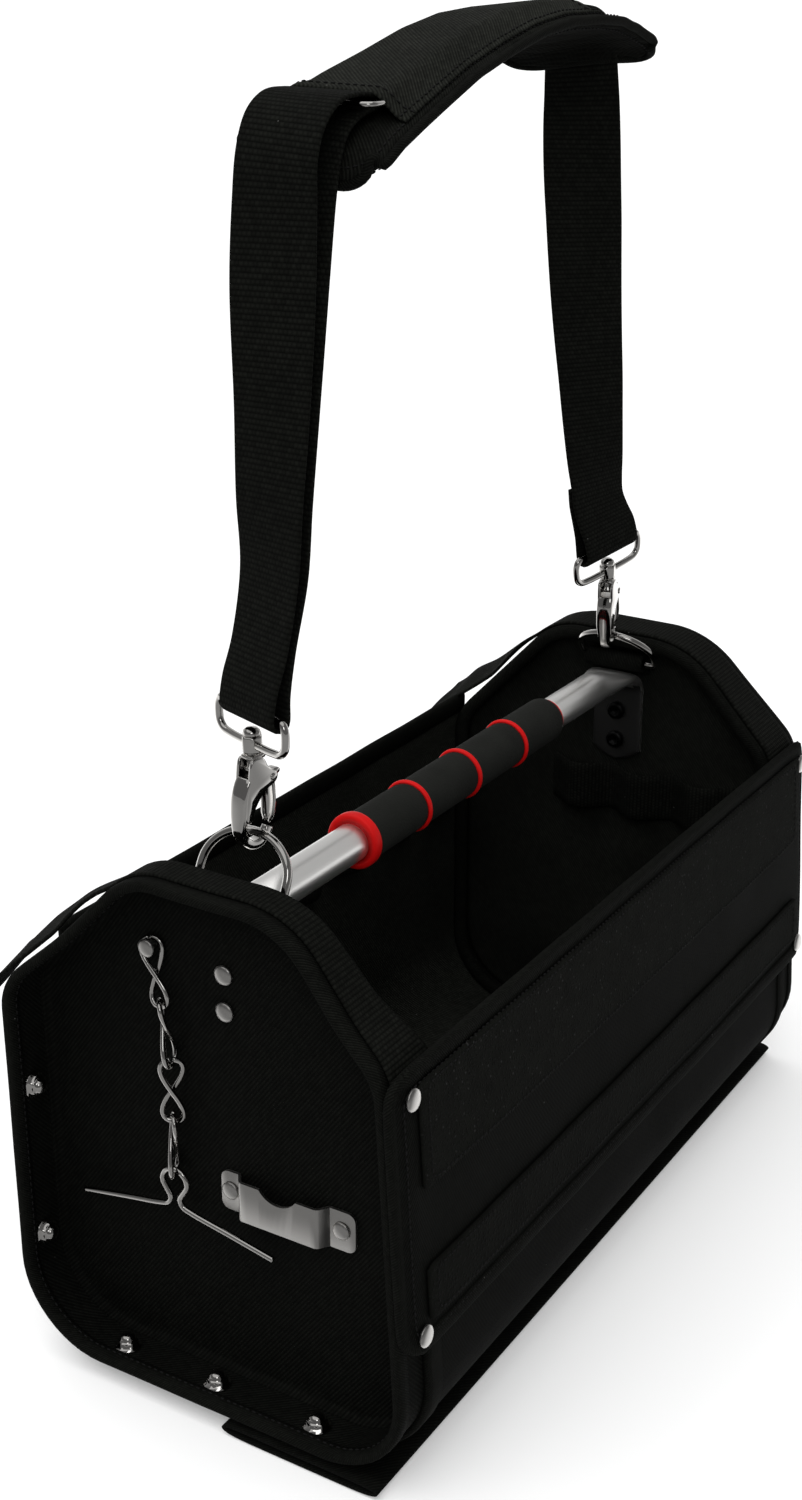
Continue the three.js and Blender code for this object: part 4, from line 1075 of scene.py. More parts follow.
class BAG_OT_handle(bpy.types.Operator):
    """Handle tube, foam grip, red collars and rings"""

    bl_idname = "toolbag.handle"
    bl_label = "Handle"

    def execute(self, context):
        half = tube_rows()
        a = circle(40)
        tube_r, tab_wide, tab_thick = 9.5, 15.6, 2.3
        grid = []
        for x, z, nx, nz, flat, narrow in [(-x, z, -nx, *rest) for x, z, nx, *rest in half[:0:-1]] + half:
            wide = (tube_r + (tab_wide - tube_r) * flat) * narrow
            thick = tube_r + (tab_thick - tube_r) * flat
            up = squarish(np.sin(a), 1 + (0.4 - 1) * flat) * thick
            across = squarish(np.cos(a), 1 - 0.35 * flat) * wide
            grid.append(np.stack([x + nx * up, across, z + nz * up], axis=1))
        tube = grid_object("handle_tube_steel", np.array(grid), finish("steel"), caps=True)
        # The flat tab ends take a very dark steel: painted shade.
        second_finish(tube, "tab", lambda face: abs(face.center.x) > 0.196 and abs(face.normal.x) > 0.7)
        finish_piece(tube, nodes=("handle_tube",))
        r = context.scene.bag_sizes.grip_radius * 1000
        bore = GRIP_BORE
        foam = [(bore, -93), (r - 1.2, -93), (r - 0.3, -92.4), (r, -91)]
        for x in np.linspace(-88, 96, 60):
            pinch = sum(0.5 * math.exp(-((x - c) / 3.2) ** 2) for c in GRIP_RINGS)
            foam.append((r - pinch, x))
        foam += [(r, 99), (r - 0.3, 100.4), (r - 1.2, 101), (bore, 101), (bore, 0), (bore, -93)]
        finish_piece(along_x("handle_grip_foam", foam, finish("foam")), nodes=("handle_grip",))
        for word, x, long, big in (("left", -99.3, 6, 14.3), ("right", 101.3, 2.2, 11.2)):
            soft = 0.27 * long
            rows = [(bore, x), (big - 1.1, x), (big - 0.2, x + 0.4 * soft), (big, x + soft), (big, x + long - soft),
                    (big - 0.2, x + long - 0.4 * soft), (big - 1.1, x + long), (bore, x + long), (bore, x)]
            collar = along_x(f"grip_end_{word}_collar", rows, finish("red"))
            finish_piece(collar, nodes=(f"grip_end_{word}",))
        for k, x in enumerate(GRIP_RINGS, 1):
            rows = [(r - 0.3, x - 1.5)]
            rows += [(r + 0.1 + 1.1 * math.sin(t), x - 1.5 * math.cos(t)) for t in np.linspace(0, math.pi, 9)]
            rows += [(r - 0.3, x + 1.5), (r - 0.3, x - 1.5)]
            ring = along_x(f"grip_ring_{k}_band", rows, finish("red"))
            finish_piece(ring, nodes=(f"grip_ring_{k}",))
        return {"FINISHED"}


# Fasteners

def dome_rows(radius, rise):
    """Profile of a domed head with a short straight lip."""
    lip = 0.35
    rows = [(0.02, 0), (radius, 0), (radius + 0.15, lip * rise)]
    for t in np.linspace(0.15, 1, 7):
        a = t * math.pi / 2
        rows.append((radius * math.cos(a) ** 0.85 if t < 1 else 0.02, lip * rise + (1 - lip) * rise * math.sin(a)))
    return rows


def fasten(name, rows, look, spots, slot, nodes=(), **form):
    """One turned fastener copied onto its spots, each a point and the way that the fastener looks."""
    shape = turned("fastener", rows, finish(look), **form)
    finish_piece(copies(name, shape, [axis_matrix(*spot) for spot in spots], finish(look)), nodes=nodes)


class BAG_OT_fasteners(bpy.types.Operator):
    """Cap rivets, screws and cap nuts, copied onto their places"""

    bl_idname = "toolbag.fasteners"
    bl_label = "Rivets, screws and nuts"

    def execute(self, context):
        tilt = unit((0, -FRONT_TALL, FRONT_LEAN))
        corners = [(word, 222 * side, level, z) for word, side in SIDES for level, z in (("top", 204), ("low", 88.5))]
        fasten("panel_rivet_caps", dome_rows(5.1, 2.2), "satin",
               [((x, float(panel_face(x, z, 0.75)), z), tilt) for _, x, _, z in corners], "plated_metal",
               [f"panel_rivet_{word}_{level}" for word, _, level, _ in corners])
        screws = [(side, z) for _, side in SIDES for z in SCREW_HEIGHTS]
        fasten("handle_screw_heads", dome_rows(4.7, 2.3), "satin",
               [((s * (PANEL_OUT + 0.3), 0, z), (s, 0, 0)) for s, z in screws], "steel")
        socket = [(0.02, 1.2), (2.6, 1.2), (2.75, 2.9), (3.4, 3.1), (4.6, 2.8), (5.4, 1.6), (5.6, 0), (2.5, 0),
                  (2.5, -4), (0.02, -4)]
        fasten("handle_screw_sockets", socket, "black", [((s * 197.0, 0, z), (-s, 0, 0)) for s, z in screws], "steel",
               [f"handle_screw_{word}_{k}" for word, _ in SIDES for k in (1, 2)], segments=36, hexed=(1, 2))
        nut = [(0.02, 0), (6.6, 0), (6.7, 0.9), (5.4, 1.0), (5.4, 3.6), (4.6, 4.0), (4.1, 4.1), (3.9, 5.2),
               (3.2, 6.3), (2.0, 7.0), (0.02, 7.3)]
        spots = [((-220, y, 12.7), (0, 0, 1)) for y in (55, 1, -56)]
        spots += [((-220, float(back_y(z)) - 2.7, z), (0, -1, 0)) for z in (144.7, 62)]
        nodes = [f"cap_nut_base_{k}" for k in (1, 2, 3)] + [f"cap_nut_back_{k}" for k in (1, 2)]
        fasten("cap_nuts", nut, "plate", spots, "plated_metal", nodes, segments=36, hexed=(3, 4))
        fasten("clip_rivet_caps", dome_rows(4.4, 1.8), "satin",
               [((-PANEL_OUT - 1.9, y, 114), (-1, 0, 0)) for y in (-0.9, -62)], "plated_metal",
               ("clip_rivet_1", "clip_rivet_2"))
        post = [(0.02, 0), (2.2, 0), (2.2, 5.3)] + [(r, h + 5.4) for r, h in dome_rows(4.3, 1.9)[1:]]
        fasten("chain_rivet_post", post, "satin", [((-PANEL_OUT - 0.3, 39, 230.5), (-1, 0, 0))], "plated_metal",
               ("chain_rivet",))
        return {"FINISHED"}


# Clip and chain

class BAG_OT_clip(bpy.types.Operator):
    """Bent sheet clip for a tape measure"""

    bl_idname = "toolbag.clip"
    bl_label = "Tape clip"

    def execute(self, context):
        low, high = 103.5, 124.0
        line = np.array([(4.5, 0), (-6, 0), (-10, 5.5), (-51, 5.5), (-55, 0), (-69.5, 0)])
        run = run_lengths(line)
        total = run[-1]
        pts, *others = round_corners(0, total, low, high, 4.5)
        mid = np.interp(-30.5, line[::-1, 0], run[::-1])
        pts += [(mid + 12 * math.cos(a), high + 6.5 - 12 * math.sin(a)) for a in arc(33, 147, 15)]
        pts += sum(others, [])
        bm = bmesh.new()
        bm.faces.new([bm.verts.new((s, 0, z)) for s, z in pts])
        stops = np.unique(np.r_[np.linspace(0, total, 24), run, run - 0.8, run + 0.8])
        for s in stops[(stops > 0.2) & (stops < total - 0.2)]:
            bmesh.ops.bisect_plane(bm, geom=list(bm.verts) + list(bm.edges) + list(bm.faces), plane_co=(s, 0, 0),
                                   plane_no=(1, 0, 0))
        for v in bm.verts:
            s, z = v.co.x, v.co.z
            y = rise = 0.0
            for k, w in ((-0.8, 0.25), (0.0, 0.5), (0.8, 0.25)):
                y += w * np.interp(s + k, run, line[:, 0])
                rise += w * np.interp(s + k, run, line[:, 1])
            v.co = Vector(to_frame((-PANEL_OUT - 0.3 - rise, y, z)))
        mesh = bpy.data.meshes.new("tape_clip_plate")
        bmesh.ops.recalc_face_normals(bm, faces=bm.faces)
        if sum(f.normal.x * f.calc_area() for f in bm.faces) > 0:
            bmesh.ops.reverse_faces(bm, faces=bm.faces)
        bm.to_mesh(mesh)
        bm.free()
        obj = add_object("tape_clip_plate", mesh)
        mesh.materials.append(finish("satin"))
        solid = obj.modifiers.new("Sheet", "SOLIDIFY")
        solid.thickness, solid.offset = 0.0015, 1.0
        bevel = obj.modifiers.new("Edge", "BEVEL")
        bevel.width, bevel.segments, bevel.limit_method, bevel.angle_limit = 0.0003, 2, "ANGLE", math.radians(50)
        flatten(obj)
        obj.data.set_sharp_from_angle(angle=math.radians(40))
        finish_piece(obj, nodes=("tape_clip",))
        return {"FINISHED"}


class BAG_OT_chain(bpy.types.Operator):
    """Chain of figure-eight links with a cross bar"""

    bl_idname = "toolbag.chain"
    bl_label = "Chain"

    def execute(self, context):
        r, bar_r, gap = 1.3, 1.5, 0.3
        reach, wide = 35.2 - 2 * r, 13 / 2 - r
        t = np.linspace(0.05, 2 * math.pi - 0.05, 84)
        line = np.stack([np.sin(2 * t) * wide, 1.5 * np.sin(t), reach / 2 * np.cos(t) + HANG], axis=1)
        link = wire("link", line, r, finish("plate"), 12)
        hang = [(0, -0.16, -0.28), (-68, 0, -0.15), (28, 0, 0.01), (-58, 0, 0.03)]
        end = np.array((-PANEL_OUT - 0.6 - r, 39.7, 230.5 + 2.2 + r + gap))
        spots = []
        for k, (turn, lean_x, lean_y) in enumerate(hang):
            down = unit((lean_x, lean_y, -1))
            if k:
                end = end - down * (2 * r + 2 * gap)
            wide_way = (-math.sin(math.radians(turn)), math.cos(math.radians(turn)), 0)
            spots.append(axis_matrix(end + down * reach / 2, -down, wide_way))
            end = end + down * reach
        finish_piece(copies("chain_links", link, spots, finish("plate")),
                     nodes=[f"chain_link_{k}" for k in (1, 2, 3, 4)])
        top = 20.5
        base = end[2] + r + bar_r + gap - top
        side = [(55.5, -9.5), (30, -4.6), (9, -0.7), (4.4, 0.9), (2.6, 4.6), (5, 9), (7.2, 13.4), (5.2, 18.4)]
        bar = [(-y, z) for y, z in side] + [(0, top)] + side[::-1]
        path = smooth_path(np.array([(end[0], end[1] + y, base + z) for y, z in bar]), 150)
        toggle = wire("chain_toggle_bar", path, bar_r, finish("plate"), 12)
        finish_piece(toggle, nodes=("chain_toggle",))
        return {"FINISHED"}


# Rings and hooks

# Each hanger: swivel centre, tilt about X, lean about Y, turn of the frame and turn of the hook.
HANGERS = {
    "left": ((-179, 0, 323.5), 0, 0, -20, -7),
    "right": ((163.8, -6, 318.2), 3, -13, 73, 12),
}
RING_LEAN = {"left": 26.7, "right": 43}


def hanger_matrix(spot, tilt, lean, turn):
    out = Matrix.Translation(spot)
    for axis, angle in zip("XYZ", (tilt, lean, turn)):
        out = out @ Matrix.Rotation(math.radians(angle), 4, axis)
    return out


def joined(name, objects):
    """Several meshes as one object."""
    bm = bmesh.new()
    for o in objects:
        bm.from_mesh(o.data)
    mesh = bpy.data.meshes.new(name)
    bm.to_mesh(mesh)
    bm.free()
    mesh.materials.append(objects[0].data.materials[0])
    for o in objects:
        bpy.data.objects.remove(o)
    return add_object(name, mesh)


# Half of the strap frame's loop (y, z), the hook's side plate (x, z) and the gate's pin (x, y, z).
LOOP_HALF = ((4, 3), (15, 3.2), (21.5, 4.2), (24.4, 7), (25.2, 11), (24.9, 15.6), (23.2, 18.3), (20.2, 19), (10, 19))
SIDE_PLATE = ((-4.6, -3.4), (-1, -2.6), (2.6, -3.6), (5.4, -8), (8.6, -10.8), (11.3, -12.6), (11.5, -15), (9.6, -17),
              (5.4, -18.4), (0, -22), (-4.2, -27), (-6.6, -32), (-9.2, -31), (-9.6, -26), (-8.8, -20), (-6.8, -14))
GATE_PIN = (8.4, 0, HANG - 14)
RING_FOOT = (193, 258.5)


class BAG_OT_hooks(bpy.types.Operator):
    """D rings with their cloth tabs, strap frames and snap hooks with gates"""

    bl_idname = "toolbag.hooks"
    bl_label = "Rings and snap hooks"

    def execute(self, context):
        for word, side in SIDES:
            self.ring(word, side)
            self.hook(word)
        return {"FINISHED"}

    def ring(self, word, side):
        tall = 30
        lean = math.radians(RING_LEAN[word])
        shift = 0 if side < 0 else -4
        foot_x, foot_z = RING_FOOT
        bow = [(23 * math.cos(a), tall - 19 + 19 * math.sin(a)) for a in arc(0, 180, 13)]
        corner = [(10, 0), (18.6, 0), (21.6, 1), (22.7, 3.6)]
        line = [(0, 0)] + corner + bow + [(-y, u) for y, u in corner[::-1]]
        pts = [(side * (foot_x - u * math.sin(lean)), y + shift, foot_z + u * math.cos(lean)) for y, u in line]
        path = smooth_path(pts, 120, closed=True)
        ring = wire(f"strap_ring_{word}_wire", path, 2.05, finish("plate"), 16, closed=True)
        finish_piece(ring, nodes=(f"strap_ring_{word}",))
        a = arc(-140, 140, 19)
        loop = [(foot_x - 4.4 * math.cos(t), foot_z + 4.4 * math.sin(t)) for t in a]
        line = [(201.2, 249.5), (200.6, 254.5)] + loop + [(200.8, 261.8), (201.2, 264.3)]
        path = smooth_path([(side * x, 0, z) for x, z in line], 70)
        up = np.cross(tangents(path), (0, 1, 0))
        tab = sweep(f"ring_tab_{word}_webbing", path, (0, 1, 0), up, tape_section(37, 2.2), finish("twill"))
        finish_piece(tab, nodes=(f"ring_tab_{word}",))

    def hook(self, word):
        centre, tilt, lean, frame_turn, hook_turn = HANGERS[word]
        frame_spot = hanger_matrix(centre, tilt, lean, frame_turn)
        spot = hanger_matrix(centre, tilt, lean, hook_turn)
        plate = finish("plate")
        line = [*LOOP_HALF, (0, 19)] + [(-y, z) for y, z in LOOP_HALF[::-1]]
        path = smooth_path(lift([(0, y, z) for y, z in line]), 110, closed=True)
        loop = wire("loop", path, 1.9, plate, 16, closed=True)
        rows = [(3.0, -0.6), (4.4, -0.6), (5.0, 0.2), (5.0, 6.2), (4.4, 7.0), (3.0, 7.0), (3.0, -0.6)]
        boss = turned("boss", rows, plate, 32, hexed=(2, 3))
        frame_piece = place(joined(f"hook_frame_{word}_wire", [loop, boss]), frame_spot)
        finish_piece(frame_piece, nodes=(f"hook_frame_{word}",))
        whole = place(joined(f"snap_hook_{word}_body", self.body_parts(plate)), spot)
        finish_piece(whole, body=f"hook_{word}", nodes=(f"snap_hook_{word}",))
        gate = place(joined(f"hook_gate_{word}_lever", self.gate_parts(plate)), spot)
        finish_piece(gate, body=f"gate_{word}", nodes=(f"hook_gate_{word}",))

    def body_parts(self, plate):
        """Spine, swivel stud, two side plates, two bridges and the gate's pin."""
        stud = [(0.02, -9), (3.6, -9), (3.8, -8.2), (3.6, -7.4), (2.7, -7), (2.7, 7.2), (4.0, 7.3), (4.2, 8.0),
                (3.7, 9.6), (2.2, 10.7), (0.02, 11)]
        parts = [self.spine(plate), turned("stud", stud, plate)]
        ring = smooth_path(SIDE_PLATE, 72, closed=True)
        for y in (3.7, -3.7):
            rows = []
            for f, grow in ((-0.8, 0.94), (-0.55, 1.0), (0.55, 1.0), (0.8, 0.94)):
                flat = ring + (ring.mean(axis=0) - ring) * (1 - grow)
                rows.append(np.stack([flat[:, 0], np.full(len(ring), y + f), flat[:, 1]], axis=1))
            parts.append(grid_object("side", lift(rows), plate, caps=True))
        for x, z in ((-1.6, -13.4), (0.4, -2.6)):
            parts.append(self.slab((x, z), (4.6, 1.1), 3.6, 0.5, plate))
        pin = turned("pin", [(0.02, -5.2), (1.3, -5.2), (1.8, -4.7), (1.8, 4.7), (1.3, 5.2), (0.02, 5.2)], plate)
        return parts + [place(pin, axis_matrix(GATE_PIN, (0, 1, 0)))]

    def gate_parts(self, plate):
        """A bent leaf, the knuckle on its pin and a thumb tab."""
        t, v = np.linspace(0, 1, 26)[:, None], np.linspace(-1, 1, 11)
        half = 2.5 + 1.3 * np.sin(math.pi * np.clip(t * 1.05, 0, 1)) ** 0.8 - 0.9 * smoothstep(t, 0.86, 1)
        bend = 9.6 + 1.2 * np.sin(math.pi * t) - 1.3 * smoothstep(t, 0.04, 0.4) * v**2
        leaf = np.stack(np.broadcast_arrays(bend, half * v, -14.6 - 21.4 * t), axis=2)
        lever = cloth_sheet("leaf", lift(leaf), 1.5, plate)
        rows = [(0.02, -2.6), (2.6, -2.6), (3.0, -2.2), (3.0, 2.2), (2.6, 2.6), (0.02, 2.6)]
        knuckle = turned("knuckle", rows, plate)
        place(knuckle, axis_matrix(GATE_PIN, (0, 1, 0)))
        return [lever, knuckle, self.slab((13, -13.2), (2.4, 1.5), 2.3, 0.8, plate)]

    def slab(self, centre, half, thick, power, material):
        """A rounded plate across local Y: centre and half sizes in X and Z."""
        a = circle(28)
        rows = []
        for f, grow in ((-1.0, 0.9), (-0.75, 1.0), (0.75, 1.0), (1.0, 0.9)):
            x = centre[0] + squarish(np.cos(a), power) * half[0] * grow
            z = centre[1] + squarish(np.sin(a), power) * half[1] * grow
            rows.append(np.stack([x, f * thick + 0 * a, z], axis=1))
        return grid_object("slab", lift(rows), material, caps=True)

    def spine(self, material):
        """The hook's back: a broad plate that narrows into the bow."""
        spine = [(-4.4, -12.5), (-6.2, -15), (-8.3, -20), (-9.3, -27)]
        bow = [(9.6 * math.cos(a), -34.5 + 9.6 * math.sin(a)) for a in arc(186, 334, 12)]
        path = smooth_path(lift([(x, 0, z) for x, z in spine + bow]), 70)
        share = np.linspace(0, 1, len(path))
        wide = 4.5 - 1.6 * smoothstep(share, 0.3, 0.62) - 0.9 * smoothstep(share, 0.8, 1.0)
        thick = 2.4 - 0.6 * smoothstep(share, 0.0, 0.4) + 0.5 * smoothstep(share, 0.4, 0.6)
        across = np.array((0.0, 1.0, 0.0))
        up = np.cross(tangents(path), across)
        a = circle(28)
        grid = (path[:, None] + across * (squarish(np.cos(a), 0.5)[:, None] * wide[:, None, None])
                + up[:, None] * (squarish(np.sin(a), 0.5)[:, None] * thick[:, None, None]))
        return grid_object("spine", grid, material, caps=True)


# Strap and pad

def strap_piece(name, stations, count, sizes):
    """Webbing along (x, z, turn, drop, y) stations: turn swings its width towards X, drop lowers its back edge."""
    rows = np.array([(x, *(rest[2:] or (0.0,)), z, *rest[:2]) for x, z, *rest in stations], dtype=float)
    # Angles count a fifth, so that they hardly change the spacing of points.
    rows[:, 3:] *= 0.2
    places = smooth_path(rows, count)
    path = places[:, :3]
    turn, drop = np.radians(places[:, 3] * 5), np.radians(places[:, 4] * 5)
    across = unit(np.stack([np.sin(turn), np.cos(turn), -np.tan(drop)], axis=1))
    up = unit(np.cross(tangents(path), across))
    width, thick = sizes.strap_width * 1000, sizes.strap_thick * 1000
    return sweep(name, path, across, up, tape_section(width, thick, 12), finish("webbing"))


def bar_fold(x, z, turn, drop, y):
    """Stations of the webbing's turn round the bar of a strap frame."""
    radius = 2.4 + 0.9 + 1
    swing = math.radians(turn)
    return [(x + radius * math.cos(a) * math.cos(swing), z - radius * math.sin(a), turn, drop,
             y - radius * math.cos(a) * math.sin(swing)) for a in arc(0, 180, 7)]


STRAP_LEFT = [
    (-103, 588, 0, -2), (-117, 586, 0, -4), (-128, 580.5, 0, -6), (-134, 570, 0, -6), (-138.5, 556, -3, 0),
    (-146, 520, -7, 0), (-151, 470, 3, 0), (-154.5, 430, 11, 0), (-159, 400, 18, 0, -2.2), (-168.8, 370, 20, 0, -2.4),
    (-175.1, 352, 20, 0, -3.6), *bar_fold(-179.87, 342.5, 20, 0, -2.4), (-181.9, 354, 20, 0, -1.4),
    (-175.4, 370, 20, 0, -2.4), (-166.5, 400, 18, 0, -2.2), (-162, 430, 11, 0), (-158.5, 470, 3, 0), (-156, 520, -7, 0),
    (-153.5, 553, -4, 0), (-151, 572, 0, -4), (-144, 585, 0, -4), (-132, 592.4, 0, -3), (-117, 593.6, 0, -2),
    (-103.4, 592.4, 0, -2),
]
STRAP_RIGHT = [
    (148.5, 375, -74, 3, -2.2), (149.7, 366, -74, 5, -2.6), (152.9, 357, -73, 8, -3.4), (156.8, 348, -72, 11, -3.6),
    *bar_fold(159.53, 336.7, -72, 11.5, -6.97), (155.4, 348, -72, 11, -9.6), (151.8, 357, -73, 8, -7.2),
    (148.9, 366, -74, 5, -5.4), (147.7, 375, -73, 3, -4.9), (146.4, 388, -68, 2, -4), (143.5, 411, -62, 0, -3),
    (141.3, 433, -57, 0, -2), (138.5, 455, -52, 0, -1), (136.4, 476, -47, 0), (133, 497, -42, 0), (130, 518, -36, 0),
    (126.7, 539, -29, 0), (124, 562, -18, 0), (121.8, 585, -6, 3), (118.5, 603, 0, 7), (111, 614, 0, 7),
    (99, 619.5, 0, 7), (84, 621.3, 0, 7), (73.2, 622.3, 0, 7),
]
# Pad stations: x, z, roll in degrees (positive where the front edge hangs lower), half width.
PAD = np.array([
    (-130, 559, 4, 32), (-125.5, 570, 6, 35.5), (-116, 577, 5, 37.5), (-98.5, 582.4, 2, 37.5), (-80, 588.3, 0.5, 37),
    (-50, 597, -2.6, 36), (-19, 605.5, -2, 35), (12, 611.8, -3.4, 35), (40, 614.5, -5.2, 36), (68, 613.6, -7, 37),
    (92, 611, -9, 37), (104, 607.5, -10, 36.5), (110, 603.5, -9, 36), (114, 597, -7, 34.5),
], dtype=float)
PAD_LAST = len(PAD) - 1


class BAG_OT_strap(bpy.types.Operator):
    """Both strap legs and the slider between the layers of the left one"""

    bl_idname = "toolbag.strap"
    bl_label = "Shoulder strap"

    def execute(self, context):
        for word, stations, count in (("left", STRAP_LEFT, 260), ("right", STRAP_RIGHT, 190)):
            leg = strap_piece(f"strap_{word}_webbing", stations, count, context.scene.bag_sizes)
            finish_piece(leg, nodes=(f"strap_{word}",))
        a = circle(80)
        x, y = squarish(np.cos(a), 0.5) * 7.0, squarish(np.sin(a), 0.38) * 25.6
        path = np.stack([x - 114, y, 590 + 0.02 * x + 0.035 * y], axis=1)
        ring = wire("strap_slider_wire", path, 1.25, finish("plate"), 12, closed=True)
        finish_piece(ring, nodes=("strap_slider",))
        return {"FINISHED"}


def pad_surface(u, v, height):
    """A point of the pad: u along its stations, v from -1 front to 1 back, height in millimetres from its middle."""
    k = np.arange(len(PAD))
    x, z, roll, half = (np.interp(u, k, PAD[:, c]) for c in range(4))
    x2, z2 = (np.interp(np.minimum(u + 0.5, PAD_LAST), k, PAD[:, c]) for c in (0, 1))
    x1, z1 = (np.interp(np.maximum(u - 0.5, 0), k, PAD[:, c]) for c in (0, 1))
    along = unit(np.stack([x2 - x1, 0 * x1, z2 - z1], axis=-1))
    roll = np.radians(roll)
    width = np.stack([0 * roll, np.cos(roll), np.sin(roll)], axis=-1)
    up = unit(np.cross(along, width))
    left, right = 1 - smoothstep(u, 0, 1.4), smoothstep(u, PAD_LAST - 1.4, PAD_LAST)
    front = smoothstep(-v, 0.3, 0.8)
    corner = np.clip((np.abs(v) - 0.5) / 0.5, 0, 1)
    pull = 13 * (1 - np.sqrt(1 - corner**2))
    flare = smoothstep(u, PAD_LAST - 2.6, PAD_LAST) * front
    x = x + 26 * flare - 0.8 * pull * right**2
    z = z - 2 * flare + pull * (left**2 + 0.4 * right**2)
    return np.stack([x, 0 * x, z], axis=-1) + width * (v * half)[..., None] + up * height[..., None]


def pad_thick(u, v):
    """Half the pad's thickness: it thins towards its sewn edge."""
    ends = smoothstep(u, 0, 0.6) * (1 - smoothstep(u, PAD_LAST - 0.7, PAD_LAST))
    return 3.7 * np.sqrt(1 - 0.5 * np.abs(v) ** 6) * (0.8 + 0.2 * ends)


def pad_rim(v=1.0, inset=0.0):
    """The pad's edge as a closed line."""
    last = PAD_LAST - inset
    run, cross = np.linspace(inset, last, 60), np.linspace(-v, v, 24)[1:-1]
    u = np.r_[run, 0 * cross + last, run[::-1], 0 * cross + inset]
    w = np.r_[0 * run - v, cross, 0 * run + v, cross[::-1]]
    return smooth_path(pad_surface(u, w, 0 * u), 280, closed=True)


def inflate(obj, seam):
    """Blows a closed mesh up as cloth held along its seam, with each point's movement capped."""
    scene = bpy.context.scene
    voxel, sewn, cap, frames = 0.0032, 0.004, 0.0035, 20
    even = obj.modifiers.new("Even", "REMESH")
    even.mode, even.voxel_size = "VOXEL", voxel
    flatten(obj)
    start = np.array([v.co for v in obj.data.vertices])
    near = np.linalg.norm(start[:, None] - to_frame(seam)[None], axis=2).min(axis=1)
    held = obj.vertex_groups.new(name="Seam")
    held.add(np.nonzero(near < sewn)[0].tolist(), 1.0, "REPLACE")
    cloth = obj.modifiers.new("Swell", "CLOTH")
    cloth.settings.use_pressure = True
    cloth.settings.uniform_pressure_force = 4.0
    cloth.settings.effector_weights.gravity = 0.0
    cloth.settings.vertex_group_mass = "Seam"
    cloth.collision_settings.use_collision = False
    cloth.point_cache.frame_start, cloth.point_cache.frame_end = 1, frames
    for step in range(1, frames + 1):
        scene.frame_set(step)
    flatten(obj)
    scene.frame_set(1)
    move = np.array([v.co for v in obj.data.vertices]) - start
    move *= np.minimum(1, cap / np.maximum(np.linalg.norm(move, axis=1, keepdims=True), 1e-9))
    obj.data.vertices.foreach_set("co", (start + move).ravel())
    obj.vertex_groups.clear()
    smooth = obj.modifiers.new("Smooth", "SUBSURF")
    smooth.levels = smooth.render_levels = 1
    flatten(obj)


def laid_on(obj, line, lift_by):
    """A millimetre line dropped onto a mesh's surface, then lifted off it a little."""
    out = []
    for point in to_frame(line):
        _, spot, normal, _ = obj.closest_point_on_mesh(Vector(point))
        out.append(np.array(spot) * 1000 + np.array(normal) * lift_by + (0, 0, HANG))
    return np.array(out)


class BAG_OT_pad(bpy.types.Operator):
    """Shoulder pad, swelled as cloth, with its piped edge and the sleeve that the strap runs through"""

    bl_idname = "toolbag.pad"
    bl_label = "Shoulder pad"

    def execute(self, context):
        uu, vv = np.meshgrid(np.linspace(0, PAD_LAST, 110), np.linspace(-1, 1, 41), indexing="ij")
        thick = pad_thick(uu, vv)
        grid = np.concatenate([pad_surface(uu, vv, thick), pad_surface(uu, vv, -thick)[:, ::-1]], axis=1)
        pad = grid_object("shoulder_pad_cover", grid, finish("pad"), caps=True)
        rim = pad_rim()
        inflate(pad, rim)
        second_finish(pad, "mesh", lambda face: face.normal.z < -0.45)
        finish_piece(pad, nodes=("shoulder_pad",))
        finish_piece(wire("shoulder_pad_piping", rim, 2.2, finish("binding"), 14, closed=True))
        grid = self.sleeve_grid(pad)
        rows, columns = grid.shape[:2]
        sleeve = cloth_sheet("shoulder_pad_sleeve", grid, 1.6, finish("sleeve"))
        finish_piece(sleeve)
        seam, above = pad_rim(0.9, 0.25), (0, 0, 4)
        lines = [(pad, seam + above), (pad, seam - above)]
        lines += [(sleeve, grid[:, c] + (0, 0, 3)) for c in (1, columns - 2)]
        lines += [(sleeve, grid[r] + (0, 0, 3)) for r in (3, rows - 4)]
        lines = [laid_on(cloth, line, 0.3) for cloth, line in lines]
        finish_piece(stitches("shoulder_pad_stitches", lines, context.scene.bag_sizes.stitch_pitch))
        return {"FINISHED"}

    def sleeve_grid(self, pad):
        """The sleeve lies on the pad along its sides and stands over the strap between them."""
        first, last = 2.62, 9.22
        uu, vv = np.meshgrid(np.linspace(first, last, 70), np.linspace(-0.9, 0.9, 35), indexing="ij")
        up = pad_surface(uu, vv, 1 + 0 * uu) - pad_surface(uu, vv, 0 * uu)
        base = laid_on(pad, pad_surface(uu, vv, 6 + 0 * uu).reshape(-1, 3), 1.0).reshape(up.shape)
        middle = pad_surface(uu, vv, 14.4 - 2.6 * smoothstep(uu, first, 3.5) - 1.4 * smoothstep(uu, 3, 8))
        lifted = np.clip(((middle - base) * up).sum(axis=2), 0, None) * (1 - smoothstep(np.abs(vv), 0.5, 0.86))
        return base + up * lifted[..., None]


